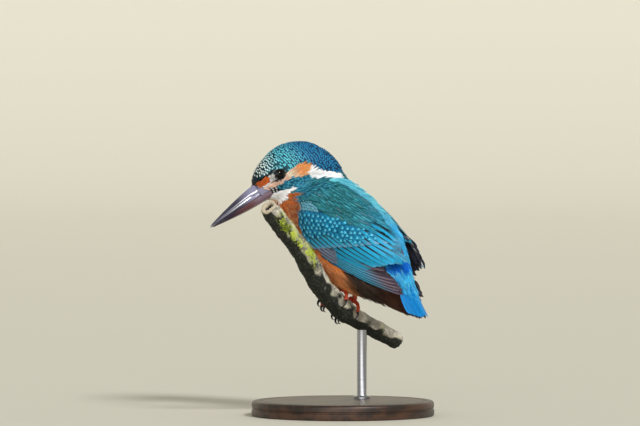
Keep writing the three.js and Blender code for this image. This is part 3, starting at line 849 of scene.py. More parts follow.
def makeRoot(place, up, face, tract, tint, mark, strength):
    look = tracts[tract]
    vary = rng.normal(0, look["unrest"], 5).clip(-2, 2)
    sway, longer, lighter, wider, higher = vary * variety["parts"]
    way = wayAt(place, up)
    way = (way + up.cross(way) * sway).normalized()
    length = look["length"] * (1 + longer)
    for share in (0.5, 1):
        if nearEye(place + way * length * share):
            length *= variety["besideEye"]
    for share in (1, 0.6):
        if nearestUp(place + way * length * share)[1].dot(up) < 0.25:
            length *= variety["folded"]
    tucked = place.z < 45 and onWing(place + way * length) and not onWing(place)
    if tucked:
        length *= variety["folded"]
    tint, mark = (np.clip(dye * (1 + lighter), 0, variety["brightest"]) for dye in (tint, mark))
    return {"at": place, "way": way, "length": length, "width": look["width"] * (1 + wider),
            "low": look["low"], "high": variety["tuckedHigh"] if tucked else look["high"] * (1 + higher),
            "patch": placeOnMap(place, face), "tint": tint, "mark": (*mark, strength)}


def nearEye(place):
    away, aside, out = eyeReach(place)
    return away < 6.5 and out > 0 and aside < eyeLook["opening"] + 0.4


# A feather that starts under the folded wing mustn't come out through it.
def pokesThrough(root, up):
    if root["at"].z < scatter["underWing"][0] or root["at"].y < scatter["underWing"][1]:
        return False
    side = Vector((math.copysign(1, root["at"].x), 0, 0))
    start, end = root["at"] + up * 0.4, root["at"] + root["way"] * root["length"] + up * 0.4
    return skinTree.ray_cast(start, side, 9)[0] is not None and skinTree.ray_cast(end, side, 20)[0] is None


# Rows of crown feathers run from side to side over the head, each row's feathers between those of the last.
def crownRoots():
    roots = []
    row = tracts["crown"]["gap"]
    polar, odd = 3.0, 0
    while polar < 147:
        hit = skinTree.ray_cast(headCore, headRay(polar, 0))
        reach = (hit[0] - headCore).length
        slots = max(int(2 * math.pi * reach * math.sin(math.radians(polar)) / row), 8)
        for k in range(slots):
            around = (k + 0.5 * odd + rng.normal(0, 0.09)) * 360 / slots - 180
            hit = skinTree.ray_cast(headCore, headRay(polar + rng.normal(0, 0.5), around))
            if hit[0] is None or nearEye(hit[0]):
                continue
            near, up, face = nearestUp(hit[0])
            tract, tint, mark, strength = featherAt(near, up)
            if tract == "crown":
                roots.append(makeRoot(near, up, face, tract, tint, mark, strength))
        polar += math.degrees(row * 1.05 / reach)
        odd = 1 - odd
    return roots


# Where the tail feathers, the wing's tip and the wing's own lower feathers lie.
def coveredPlace(place, up):
    x, y, z = abs(place.x), place.y, place.z
    if y > 36 and z < 2 and up.z < 0:
        return True
    if z > 14 or y < 0:
        return False
    besideTail = (y > 30 and x > 8.6) or (y > 33 and x > 5.2)
    return besideTail or wingTree.find_nearest(place)[3] < (2 if y > 28 else 1.2)


# Everything but the crown's rows and the wings: places at random, no closer than their tract's gap.
scatter = {"tries": 90000, "cell": 1.6, "least": 0.5, "ridgeAbove": 40, "tailPlate": (36.5, 7.5, 40.5),
           "underWing": (26.5, 2)}


def scatterRoots():
    roots = {name: [] for name in tracts}
    corners = np.array([f if len(f) == 4 else (*f, f[2]) for f in skinFaces])
    quad = skinPlaces[corners]
    area = np.linalg.norm(np.cross(quad[:, 2] - quad[:, 0], quad[:, 3] - quad[:, 1]), axis=1)
    picks = rng.choice(len(area), scatter["tries"], p=area / area.sum())
    shares = rng.random((len(picks), 2))
    taken = {}
    for face, (s, t) in zip(picks, shares):
        q = quad[face]
        place = Vector((q[0] * (1 - s) + q[1] * s) * (1 - t) + (q[3] * (1 - s) + q[2] * s) * t)
        key = tuple(int(c // scatter["cell"]) for c in place)
        close = [(place - p).length_squared for dx in (-1, 0, 1) for dy in (-1, 0, 1) for dz in (-1, 0, 1)
                 for p in taken.get((key[0] + dx, key[1] + dy, key[2] + dz), ())]
        nearest = min(close, default=99)
        upward = Vector(skinNormals[corners[face][0]]).dot(bodyMarks["backUp"])
        onTop = place.z > scatter["ridgeAbove"] and upward > 0.6
        if nearest < scatter["least"] or nearEye(place) or (onWing(place) and not onTop):
            continue
        polar, around, reach = headChart(place)
        back, top, edge = scatter["tailPlate"]
        onTailPlate = place.y > back and place.z < top and place.y + place.z * 0.4 > edge
        if onTailPlate or polar < baseEdge(around):
            continue
        up = Vector(unit(skinNormals[corners[face]].mean(0)))
        tract, tint, mark, strength = featherAt(place, up)
        if coveredPlace(place, up) or (onTop and tract != "mantle" and onWing(place)):
            continue
        if (tract == "crown" and polar < 146) or nearest < tracts[tract]["gap"] ** 2:
            continue
        root = makeRoot(place, up, face, tract, tint, mark, strength)
        if pokesThrough(root, up):
            continue
        taken.setdefault(key, []).append(place)
        roots[tract].append(root)
    return roots


coat = scatterRoots()
coat["crown"] += crownRoots()
print("coat:", {name: len(roots) for name, roots in coat.items()})

# Fringes of barbs: how many, where they start and how far past the tip they reach, and how they spread.
fringes = {name: dict(zip(("count", "start", "reach", "spread", "lift", "width"), row)) for name, row in {
    "fine": (5, 0.75, 0.12, 0.35, 0.15, 0.07),
    "loose": (9, 0.5, 0.3, 0.5, 0.35, 0.09),
    "silky": (7, 0.55, 0.16, 0.4, 0.15, 0.09),
}.items()}


def vaneLook(fringe, finish, stations=5, shape="soft", **more):
    return {"stations": stations, "shape": shape, "fringe": fringes.get(fringe), "finish": finish, **more}


# A band is where its middle lies, its half width, its softness, how far across it reaches, and its bow.
white = {"barbs": 8, "rootShade": 0.96, "barbDepth": 0.04, "mottle": 0.05}
coatLooks = {
    "crown": vaneLook(None, {"band": (0.83, 0.075, 0.04, 0.85, 0.06), "rootShade": 0.5, "barbs": 10,
                             "barbDepth": 0.12, "mottle": 0.3}, 7, "round", camber=0.3, notch=0.08),
    "lore": vaneLook("fine", {"barbs": 6, "rootShade": 0.6, "mottle": 0.25}, 4),
    "ear": vaneLook("loose", {"barbs": 8, "streak": 0.25, "rootShade": 0.92, "barbDepth": 0.08,
                              "mottle": 0.12}),
    "white": vaneLook("fine", white),
    "cheek": vaneLook("fine", {"band": (0.82, 0.09, 0.06, 0.7, 0.05), "rootShade": 0.5, "barbs": 10}, 6,
                      "round", notch=0.12),
    "throat": vaneLook("fine", {**white, "rootShade": 0.95}),
    "neck": vaneLook("fine", {"barbs": 10, "streak": 0.18, "rootShade": 0.5}, notch=0.15),
    "breast": vaneLook("loose", {"barbs": 10, "rootShade": 0.6, "band": (0.97, 0.06, 0.1, 1, 0)}),
    "belly": vaneLook("loose", {"barbs": 10, "rootShade": 0.6, "band": (1, 0.05, 0.15, 1, 0)}),
    "shadedVent": vaneLook("loose", {"barbs": 10, "rootShade": 0.6, "streak": 0.1}),
    "undertail": vaneLook("loose", {"barbs": 12, "rootShade": 0.6}),
    "mantle": vaneLook("fine", {"barbs": 12, "streak": 0.12, "rootShade": 0.45}, notch=0.15),
    "strip": vaneLook("loose", {"barbs": 12, "streak": 0.2, "rootShade": 0.8}),
    "rump": vaneLook("silky", {"barbs": 12, "streak": 0.2, "rootShade": 0.75, "gloss": 0.12, "sheen": 0}),
}
for tract, look in coatLooks.items():
    layCoat("coat_" + tract, coat[tract], look,
            featherFinish(tract + " feathers", look["finish"]))

# The skin wears the coat's own colours, darker, as the down between the feathers and as painted shade in
# the gaps between them.
skinTints = []
for place, normal in zip(skinPlaces, skinNormals):
    at, up = Vector(place), Vector(normal)
    if onWing(at):
        inner = up.x * at.x < 0 and at.z < 34
        tint = dyes["underWing"] if inner else between("covert", "brown", (at.y - 20) / 20)
    else:
        tint = plumageAt(at, up)[1]
    polar, around, reach = headChart(at)
    if polar < baseEdge(around) + 1.5:
        tint = dyes["horn"] * 1.3
    skinTints.append((*(tint * 0.7), 1))
paint(skin, "tint", skinTints)
down = Finish("down", 0.85)
downAndShadeTint = down.layer("tint")[0]
fluff = down.noise(1400, 4)
# mottling towards near black in the down adds painted shade between the feathers
down.colour(down.blend(down.times(fluff, 0.45), downAndShadeTint, skinLook["down"]))
down.bump(fluff, 0.5, 0.15)
finishPiece(skin, down.material, skinLook["flesh"])
print("skin dressed")

# The folded wing's own chart: back along the way its feathers lie, and up across them, in its outer face.
wingLook = {"slope": 31, "rightBack": 0.5, "rightDrop": 2.5, "rightReach": 2, "along": (-46.0, 34),
            "up": (16.0, 56)}
slope = math.radians(wingLook["slope"])


def wingPlace(side, along, up):
    y = along * math.cos(slope) + up * math.sin(slope)
    z = up * math.cos(slope) - along * math.sin(slope)
    if side < 0:
        y += wingLook["rightBack"]
        z -= wingLook["rightDrop"]
    hit = skinTree.ray_cast(Vector((side * 45, y, z)), Vector((-side, 0, 0)), 45)
    return hit[0] if hit[0] else None, Vector((0, y, z))


wingWay = Vector((0, math.cos(slope), -math.sin(slope)))
wingRise = Vector((0, math.sin(slope), math.cos(slope)))
# How far up the wing ends, the coverts give way to scapulars, the lower edge lies and the marginal coverts
# begin, each by distance along; and how far along the spotted coverts reach, by distance up.
ridge = through((-42, 36), (-38, 43), (-30.6, 50), (-18.8, 53.6), (-7.3, 53), (4.3, 50), (16.6, 45.4),
                (26.4, 40))
shoulderEdge = through((-42, 37), (-38, 40), (-31, 41), (-27, 38.5), (-23, 40), (-15.5, 41.1), (-7.6, 42.1),
                       (0, 44.3), (9, 45.2), (14.5, 46.2), (20, 44.5), (27, 40))
lowEdge = through((-43, 34), (-34.5, 26), (-27, 21), (-19.5, 18.4), (-10, 19.3), (0, 19.9), (20, 21),
                  (33, 25))
marginalEdge = through((-44, 29), (-39, 31), (-35, 33.5), (-31, 34.8), (-28, 37.5))
spotsEnd = through((20, -27), (25, -24), (29.4, -19), (31.5, -14), (33, -7.5), (35.7, -2.5), (37, 2),
                   (40.6, 5.2), (45, 9))

# Rows of coverts, from the bend back: spacing along and across, size, and how far they stand out.
covertRows = {name: dict(zip(("along", "across", "length", "width", "low", "high"), row)) for name, row in {
    "marginal": (1.5, 1.25, 2.8, 1.4, 0.25, 0.75),
    "lesser": (2.5, 2.3, 5.4, 3.1, 0.6, 1.45),
    "scapular": (2.8, 1.8, 9.5, 2.9, 0.5, 1.45),
}.items()}


def covertAt(along, up):
    if up < lowEdge(along) + 0.3 or up > ridge(along) + 1.8:
        return None
    if up > shoulderEdge(along):
        return "scapular" if along < 27 - max(up - 42, 0) * 1.2 else None
    if along < -28 and up > marginalEdge(along):
        return "marginal"
    return "lesser" if along < spotsEnd(up) else None


def covertRoot(side, kind, along, up):
    look = covertRows[kind]
    place = wingPlace(side, along - look["length"] * 0.75, up)[0]
    edge = wingPlace(side, along, up)[0]
    if edge is None:
        return None
    if place is None or not onWing(place) or (place - edge).length > look["length"] * 1.2:
        place = edge - wingWay * look["length"] * 0.4
    near, out, face = nearestUp(place)
    if nearestUp(edge)[1].x * side < 0.1:
        return None
    vary = rng.normal(0, 1, 4).clip(-2, 2)
    lift = 1 + 0.12 * vary[0]
    way = (edge - near).normalized() + wingRise * 0.05 * vary[1]
    length = look["length"] * (1 + 0.05 * vary[2])
    light = 1 + 0.08 * vary[3]
    if kind == "marginal":
        tint, mark = between("covert", "edgeGreen", 0.65), between("edgeGreen", "glint", 0.3 * rng.random())
        strength = 0.7
    elif kind == "lesser":
        tint, mark = between("covert", "web", 0.3 * rng.random()), dyes["spot"]
        strength = 0.75 + 0.25 * rng.random()
    else:
        tint = between("mantle", "mantleBlue", (along + 13) / 27)
        mark = dyes[rng.choice(("tealBar", "spot", "lilac", "edgeGreen"), p=(0.5, 0.2, 0.15, 0.15))]
        strength = 0.25 + 0.6 * rng.random()
        light += 0.16 * vary[2]
        lift *= mix(0.55, 1, smooth(-1, 4, ridge(along) - up))  # flatter along the wing's upper edge
    return {"at": near, "way": way, "length": length, "width": look["width"], "low": look["low"],
            "high": look["high"] * lift, "patch": placeOnMap(near, face),
            "tint": np.clip(tint * light, 0, 0.9), "mark": (*np.clip(mark * light, 0, 0.9), strength)}


def covertRoots(side):
    roots = {kind: [] for kind in covertRows}
    for kind, look in covertRows.items():
        (along, back), (low, high), odd = wingLook["along"], wingLook["up"], 0
        while along < back:
            up = low + odd * look["across"] / 2
            while up < high:
                a = along + rng.normal(0, 0.09) * look["along"]
                b = up + rng.normal(0, 0.09) * look["across"]
                if covertAt(a, b) == kind:
                    root = covertRoot(side, kind, a, b)
                    if root:
                        roots[kind].append(root)
                up += look["across"]
            along += look["along"]
            odd = 1 - odd
    return roots


covertLooks = {
    "marginal": vaneLook("fine", {"barbs": 8, "streak": 0.15, "rootShade": 0.5}),
    "lesser": vaneLook(None, {"band": (0.85, 0.09, 0.07, 0.4, 0.3), "rootShade": 0.5}, 9, "round",
                       camber=0.2, notch=0.08, columns=5),
    "scapular": vaneLook("fine", {"streak": 0.1, "rootShade": 0.45, "barbs": 22, "slant": 5}, 8,
                         camber=0.25, notch=0.08, columns=5),
}

# Long feathers, from the one that shows lowest on the wing to the highest: root and tip in the wing's
# chart, how far the line sags, the webs' half widths, how far they stand out, and the dyes of the webs with
# where the second one takes over.
flights = {name: dict(zip(("count", "roots", "tips", "belly", "outer", "inner", "low", "high", "outside",
                           "inside", "fade", "innerFade"), row)) for name, row in {
    "primary": (8, ((-19, 20.2), (-6, 26.6)), ((33.4, 25.2), (20, 32)), (-2.6, -0.8), 0.95, 2.2, (0.1, 0.3),
                (0.5, 0.9), ("primary", "brown"), ("web", "brownDark"), (0.42, 0.72, 0.2)),
    "hand": (4, ((-25, 20.6), (-21, 25.4)), ((-5.6, 20.6), (-8, 25)), (-0.3, 0), 1.15, 1.6, (0.3, 0.4),
             (0.55, 0.7), ("lilac", "lilacDark"), ("brownDark", "lilacDark"), (0.5, 1, 0)),
    "secondary": (7, ((-18, 26.6), (-4, 40)), ((12, 28.4), (24, 39)), (-1.7, 0.2), 1.82, 2.3, (0.2, 0.4),
                  (0.55, 0.95), ("second", "lilac"), ("web", "second"), (0.85, 1.4, 0), (0.6, 0.92)),
    "tertial": (4, ((-5, 41), (-3, 47)), ((26.6, 40.9), (16, 45.8)), (0.4, 0.8), 1.8, 1.9, (0.7, 0.8),
                (1.45, 2.0), ("second", "lilac"), ("web", "tertial"), (0.8, 1.3, 0), (0.55, 0.9)),
    "greater": (13, ((-33, 22.5), (-1, 44.6)), ((-19.5, 21.4), (12.6, 43.6)), (0, 0), 1.6, 1.7, (0.3, 0.5),
                (0.85, 1.3), ("greater", "lilac"), ("web", "greater"), (0.75, 1.1, 0)),
}.items()}


def rootAndTip(look, t):
    return [[mix(a, b, t) for a, b in zip(*look[end])] for end in ("roots", "tips")]


def flightParts(side, kind):
    look = flights[kind]
    count, stops = look["count"], 13
    share = stations(stops, 1.15)
    paths, ups = np.empty((count, stops, 3)), np.empty((count, stops, 3))
    patches, tints, marks = [], [], []
    for n in range(count):
        t = n / (count - 1)
        root, tip = rootAndTip(look, t)
        tip[0] += wingLook["rightReach"] * (side < 0)
        for i, s in enumerate(share):
            along = mix(root[0], tip[0], s)
            up = mix(root[1], tip[1], s) + mix(*look["belly"], t) * math.sin(math.pi * s ** 0.8)
            hit, flat = wingPlace(side, along, up)
            if hit is None or (i > 2 and abs(hit.x - paths[n, i - 1, 0]) > 2.2):
                hit = flat + Vector((2 * paths[n, i - 1, 0] - paths[n, i - 2, 0], 0, 0))
            at, out, face = nearestUp(hit)
            paths[n, i] = hit
            ups[n, i] = out if out.x * side > 0 else Vector((side, 0, 0))
            if i == 0:
                patches.append(placeOnMap(at, face))
        for turn in range(6):
            ups[n, 1:-1] = unit(ups[n, :-2] + ups[n, 1:-1] + ups[n, 2:])
            paths[n, 1:-1, 0] = (paths[n, :-2, 0] + 2 * paths[n, 1:-1, 0] + paths[n, 2:, 0]) / 4
        lift = mix(mix(*look["low"], t), mix(*look["high"], t), share)
        paths[n] += ups[n] * lift[:, None]
        light = 1 + 0.06 * rng.normal()
        begin, end, later = look["fade"]
        fade = np.clip((share - begin - later * (1 - t)) / (end - begin), 0, 1)[:, None]
        begin, end = look.get("innerFade", (begin, end))
        innerFade = np.clip((share - begin) / (end - begin), 0, 1)[:, None]
        for store, part, web in ((tints, fade, "outside"), (marks, innerFade, "inside")):
            near, far = look[web]
            store.append((dyes[near] * (1 - part) + dyes[far] * part) * light)
    shape = vaneShapes["blade"](share)
    outer, inner = (look[web] * shape[None] * np.ones((count, 1)) for web in ("outer", "inner"))
    halves = (inner, outer) if side > 0 else (outer, inner)
    vane = {"columns": 7, "thick": 0.1, "camber": 0.03, "tilt": 0.1 * side}
    return vaneSet(paths, ups, share, halves, vane, patches, tints, marks, turned=side < 0,
                   patchSize=0.01, under=dyes["underWing"])


# Where the folded wing stands clear of the body, its inner face has feathers too.
lining = {"count": 9, "roots": ((0, 23.5), (4, 43)), "tips": ((31, 26), (21, 41)), "half": 1.8,
          "thick": (0.25, 6)}


def liningParts(side):
    paths, ups, patches, share = [], [], [], stations(11, 1.15)
    inward = Vector((-side, 0, 0))
    for n in range(lining["count"]):
        root, tip = rootAndTip(lining, n / (lining["count"] - 1))
        clear = []
        for s in np.linspace(1, 0, 24):
            outer = wingPlace(side, mix(root[0], tip[0], s), mix(root[1], tip[1], s))[0]
            if outer is None:
                break
            inner = skinTree.ray_cast(outer + inward * 0.3, inward, lining["thick"][1])
            if inner[0] is None:
                break
            if inner[3] > lining["thick"][0]:
                clear.insert(0, inner[0])
        if len(clear) < 6:
            continue
        curve = route(*clear[::2])
        line = [curve(s) for s in share]
        paths.append([at + inward * mix(0.35, 0.7, s) for at, s in zip(line, share)])
        ups.append([inward] * len(share))
        near, out, face = nearestUp(line[0])
        patches.append(placeOnMap(near, face))
    half = np.full((len(paths), 1), lining["half"]) * vaneShapes["blade"](share)[None]
    tints = np.array([dyes["underWing"] * (0.8 + 0.4 * rng.random()) for path in paths])
    vane = {"columns": 5, "thick": 0.1, "camber": 0.02}
    return vaneSet(paths, ups, share, half, vane, patches, tints, tints * 0.45, patchSize=0.01)


longFinish = {"rootShade": 0.8, "barbDepth": 0.12, "bump": 0.2}
flightFinish = featherFinish("flight feathers", {**longFinish, "rough": 0.45, "webs": 0.5, "quill": 0.035,
                                                 "barbs": 90, "slant": 9})
covertFinishes = {}
for kind, look in covertLooks.items():
    covertFinishes[kind] = featherFinish(kind + " coverts", look["finish"])
for sideName, side in (("left", 1), ("right", -1)):
    for kind, roots in covertRoots(side).items():
        layCoat(f"{kind}_{sideName}", roots, covertLooks[kind], covertFinishes[kind])
    sets = [flightParts(side, kind) for kind in flights] + [liningParts(side)]
    makeVanes("flight_" + sideName, sets, flightFinish)


# Tail feathers lie on the solid's own arched plate, the middle pair on top.
tailLook = {"line": ((0, 34, 27), (0, 38, 18), (0, 40.6, 9), (0, 44.2, 0.5), (0, 49, -7.8)), "count": 12,
            "halfWide": 6.8, "droop": 4.4, "rounding": 1.4, "outerShort": 4.5, "vane": 1.7, "from": 0.42}


def makeTail():
    curve = route(*tailLook["line"])
    share = stations(11, 1.2)
    paths, ups, patches, tints, marks = [], [], [], [], []
    for under in (1, -1):
        for n in range(tailLook["count"]):
            v = 2 * n / (tailLook["count"] - 1) - 1
            short = tailLook["rounding"] * (2 * abs(v) - 1) ** 2
            short += tailLook["outerShort"] * max(abs(v) - 0.4, 0)
            line, out = [], []
            for s in share:
                at = mix(tailLook["from"], 1, s)
                ahead = headingOf(curve, at)
                up = Vector((1, 0, 0)).cross(ahead)
                up = up if up.y > 0 else -up
                wide = tailLook["halfWide"] * mix(0.75, 1, smooth(0, 0.6, s)) * v
                stack = (0.5 + 0.04 * (1 - abs(v)) * tailLook["count"]) * smooth(-0.1, 0.3, s)
                place = curve(at) + Vector((wide, 0, 0)) - ahead * short * s
                place += up * (under * stack - tailLook["droop"] * v * v * 0.75 + 0.1)
                line.append(place)
                out.append((up * under + Vector((0.5 * v, 0, 0)) * under).normalized())
            paths.append(line)
            ups.append(out)
            near, flat, face = nearestUp(Vector(line[0]))
            patches.append(placeOnMap(near, face))
            if under > 0:
                tints.append(dyes["tail"] * (1 + 0.07 * rng.normal()))
            else:
                # the undersides take the vent's and undertail's browns, darkened by painted shade
                tints.append(between("shadedVent", "undertail", 0.4))
            marks.append((*dyes["tailEdge" if under > 0 else "web"], 0.6))
    half = np.full((len(paths), 1), tailLook["vane"]) * vaneShapes["blade"](share)[None]
    vane = {"columns": 5, "thick": 0.1, "camber": 0.12}
    one = vaneSet(paths, ups, share, half, vane, patches, tints, marks, patchSize=0.01)
    finish = featherFinish("tail feathers", {**longFinish, "rough": 0.5, "gloss": 0.12, "sheen": 0,
                                             "streak": 0.04, "barbs": 80, "slant": 8})
    makeVanes("tail_feathers", [one], finish)


makeTail()


# Bill: two tapering halves with a ridged culmen, a flat biting edge, and nostrils cut into the upper one.
billLook = {"length": 33, "lowerShort": 0.7, "baseAhead": 17, "root": 9, "width": 8.2, "upperDepth": 5,
            "lowerDepth": 4.5, "gap": 0.15, "nostril": (19.2, 1.55, 1.9), "ridge": 0.25, "gape": 0.75,
            "upper": ("#1d1c2a", "#2c2a3c"), "upperBase": "#a09dba", "lower": ("#7f4038", "#251d2a"),
            "lowerPale": "#8f8496", "tip": "#8d8a92", "streak": "#4a4760"}


def billPoint(direction, ahead, turn):
    length = billLook["length"] - (billLook["lowerShort"] if direction < 0 else 0)
    along = min(max((ahead - billLook["baseAhead"]) / billLook["length"], 0), 1)
    taper = 1 - along ** (1.45 if direction > 0 else 1.4)
    wide = billLook["width"] / 2 * (0.96 * taper + 0.045)
    deep = (billLook["upperDepth"] if direction > 0 else billLook["lowerDepth"]) * (0.95 * taper + 0.07)
    tip = smooth(billLook["baseAhead"] + length - 2.2, billLook["baseAhead"] + length, ahead)
    wide, deep = wide * (1 - 0.7 * tip), deep * (1 - 0.6 * tip)
    wide += billLook["gape"] * max(billLook["baseAhead"] - max(ahead, 13), 0)
    rise = math.sin(turn) ** 0.85 * deep
    rise *= 1 + billLook["ridge"] * 0.3 * max(math.sin(turn), 0) ** 12
    groove = 0.28 * math.exp(-((math.sin(turn) - 0.42) / 0.16) ** 2) * smooth(0.02, 0.2, along) * taper
    side = math.cos(turn) * (wide - groove)
    at, height, reach = billLook["nostril"]
    hole = math.exp(-((ahead - at) / reach) ** 2 - ((rise - height) / 0.34) ** 2) if direction > 0 else 0
    edge = mix(-2.5, -2.9, along) + direction * billLook["gap"]
    return inHead(side * (1 - 0.24 * hole), ahead, edge + direction * (rise - 0.1 * hole))


def makeBillHalf(name, direction):
    length = billLook["length"] - (billLook["lowerShort"] if direction < 0 else 0)
    points, around, rows = [], 40, 90
    for i in range(rows):
        s = i / (rows - 1)
        ahead = mix(billLook["root"], billLook["baseAhead"] + length, 1 - (1 - s) ** 1.15)
        for k in range(around):
            # most of a ring is the rounded back, and the rest the flat edge
            turn = math.pi * min(k / (around * 0.8), 1)
            point = billPoint(direction, ahead, turn)
            if k > around * 0.8:
                left, right = billPoint(direction, ahead, math.pi), billPoint(direction, ahead, 0)
                point = left.lerp(right, (k / around - 0.8) / 0.2)
            points.append(point)
    quads = ringFaces(rows, around, inward=direction < 0)
    tipRing = tuple(range((rows - 1) * around, rows * around))
    caps = [tuple(range(around))[::-direction], tipRing[::direction]]
    bill = makeObject(name, points, [quads, caps], sharpAt=40)
    along = [i // around / rows for i in range(len(points))]
    paint(bill, "along", [(a, a, a, 1) for a in along])
    finish = Finish(name + " horn", 0.24, Specular_IOR_Level=0.6, Coat_Weight=0.35, Coat_Roughness=0.12)
    share = finish.layer("along")[0]
    streaks = finish.noise(260)
    if direction > 0:
        colour = finish.blend(finish.step(share, 0.2, 0.9), *billLook["upper"])
        pale, base = finish.times(finish.step(share, 0.5, 0.22), 0.75), billLook["upperBase"]
    else:
        colour = finish.blend(finish.step(share, 0.1, 0.75), *billLook["lower"])
        pale, base = finish.times(finish.step(share, 0.36, 0.2), 0.6), billLook["lowerPale"]
    colour = finish.blend(pale, colour, base)
    colour = finish.blend(finish.step(share, 0.9, 1), colour, billLook["tip"])
    finish.colour(finish.blend(finish.times(streaks, 0.35), colour, billLook["streak"]))
    finish.bump(streaks, 0.12, 0.05)
    finishPiece(bill, finish.material, ("bill_upper" if direction > 0 else "bill_lower",))


makeBillHalf("upper_bill", 1)
makeBillHalf("lower_bill", -1)
print("bill made")


# Eyes: a dark ball with a clear front, set inside a soft ring of lid.
def makeEye(sideName):
    out = eyeWays[sideName]
    side = out.cross(headUp).normalized()
    up = side.cross(out)
    centre, radius = eyeMiddles[sideName], eyeLook["radius"]
    rows, around = 28, 48
    points = []
    for i in range(1, rows):
        lean = math.pi * i / rows
        for turn in turnsOf(around):
            bulge = radius * (1 + 0.05 * smooth(0.62, 0.2, lean / math.pi * 2))
            flat = side * math.cos(turn) + up * math.sin(turn)
            points.append(centre + out * (math.cos(lean) * bulge) + flat * (math.sin(lean) * radius))
    caps = [tuple(range(around)), tuple(range((rows - 2) * around, (rows - 1) * around))[::-1]]
    eye = makeObject("eye_ball_" + sideName, points, [ringFaces(rows - 1, around, inward=True), caps])
    ring = [min(i // around / rows * 2, 1) for i in range(len(points))]
    paint(eye, "ring", [(r, r, r, 1) for r in ring])
    finish = Finish("eye " + sideName, 0.05, Specular_IOR_Level=0.22)
    share = finish.layer("ring")[0]
    iris = finish.blend(finish.times(finish.noise(900), 0.8), *eyeLook["iris"])
    finish.colour(finish.blend(finish.step(share, 0.26, 0.3), eyeLook["pupil"], iris))
    finishPiece(eye, finish.material, ("eye_" + sideName,))
    # the lid's rim follows a slightly almond opening
    rim = []
    for turn in turnsOf(60):
        wide = eyeLook["opening"] * (1 + 0.06 * math.cos(2 * turn))
        flat = side * (math.cos(turn) * wide) + up * (math.sin(turn) * wide)
        rim.append(centre + flat + out * (math.sqrt(radius ** 2 - wide ** 2) + 0.12))
    points, sides = [], 12
    for k in range(60):
        flat = (rim[k] - centre - out * (rim[k] - centre).dot(out)).normalized()
        for turn in turnsOf(sides):
            away = flat * (math.cos(turn) * eyeLook["rimWide"]) + out * (math.sin(turn) * eyeLook["rim"])
            points.append(rim[k] + flat * 0.1 - out * 0.06 + away * (1 + 0.1 * math.sin(k * 1.9)))
    lid = makeObject("eyelid_" + sideName, points, [ringFaces(60, sides, closed=True)])
    finish = Finish("eyelid " + sideName, 0.6)
    grain = finish.noise(2500)
    finish.colour(finish.blend(grain, *eyeLook["lidSkin"]))
    finish.bump(grain, 0.6, 0.08)
    finishPiece(lid, finish.material)


for sideName in eyeMiddles:
    makeEye(sideName)
print("eyes made")

# Branch: rough bark over the solid's own line, with ridges, knots and cracks, and a snapped upper end, with
# painted shade on the side turned from the light and in the end's hollow.
branchLook = {"line": ((-40, 7.4, -22.2), (-26.5, 5, -17), (-13, 2.4, -11.4), (-0.5, 0.4, -6),
                       (11, -0.6, 1), (21.8, -1.2, 8.4), (32.1, -0.9, 18), (41.5, -0.5, 26.5),
                       (51.6, -1.6, 35.4), (60.5, -3.8, 44.3), (66.8, -5.6, 51)),
              "radius": 5.9, "swell": 0.035, "knots": 0.025, "bark": 0.5, "rings": 420, "sides": 110,
              "cutDepth": 0.5, "hollowDepth": -3.2, "lit": Vector((0.35, 0.5, 0.79)),
              "grey": ("#6a665b", "#c8c0ae"), "flecks": "#e2dccc", "lichen": "#c6caa2",
              "shaded": ("#14170f", "#33372a"), "green": "#b2c043", "wood": ("#a89a80", "#d8ccb4"),
              "hollowShade": "#15110d"}
branchLine = route(*branchLook["line"])
branchTaper = through((0, 0.76), (0.2, 0.84), (0.34, 1), (0.5, 0.98), (0.75, 0.9), (0.95, 0.86), (1, 0.78))


def branchRadius(s):
    wave = 1 + branchLook["swell"] * math.sin(23 * s) + branchLook["knots"] * math.sin(61 * s + 1)
    return branchLook["radius"] * branchTaper(s) * wave


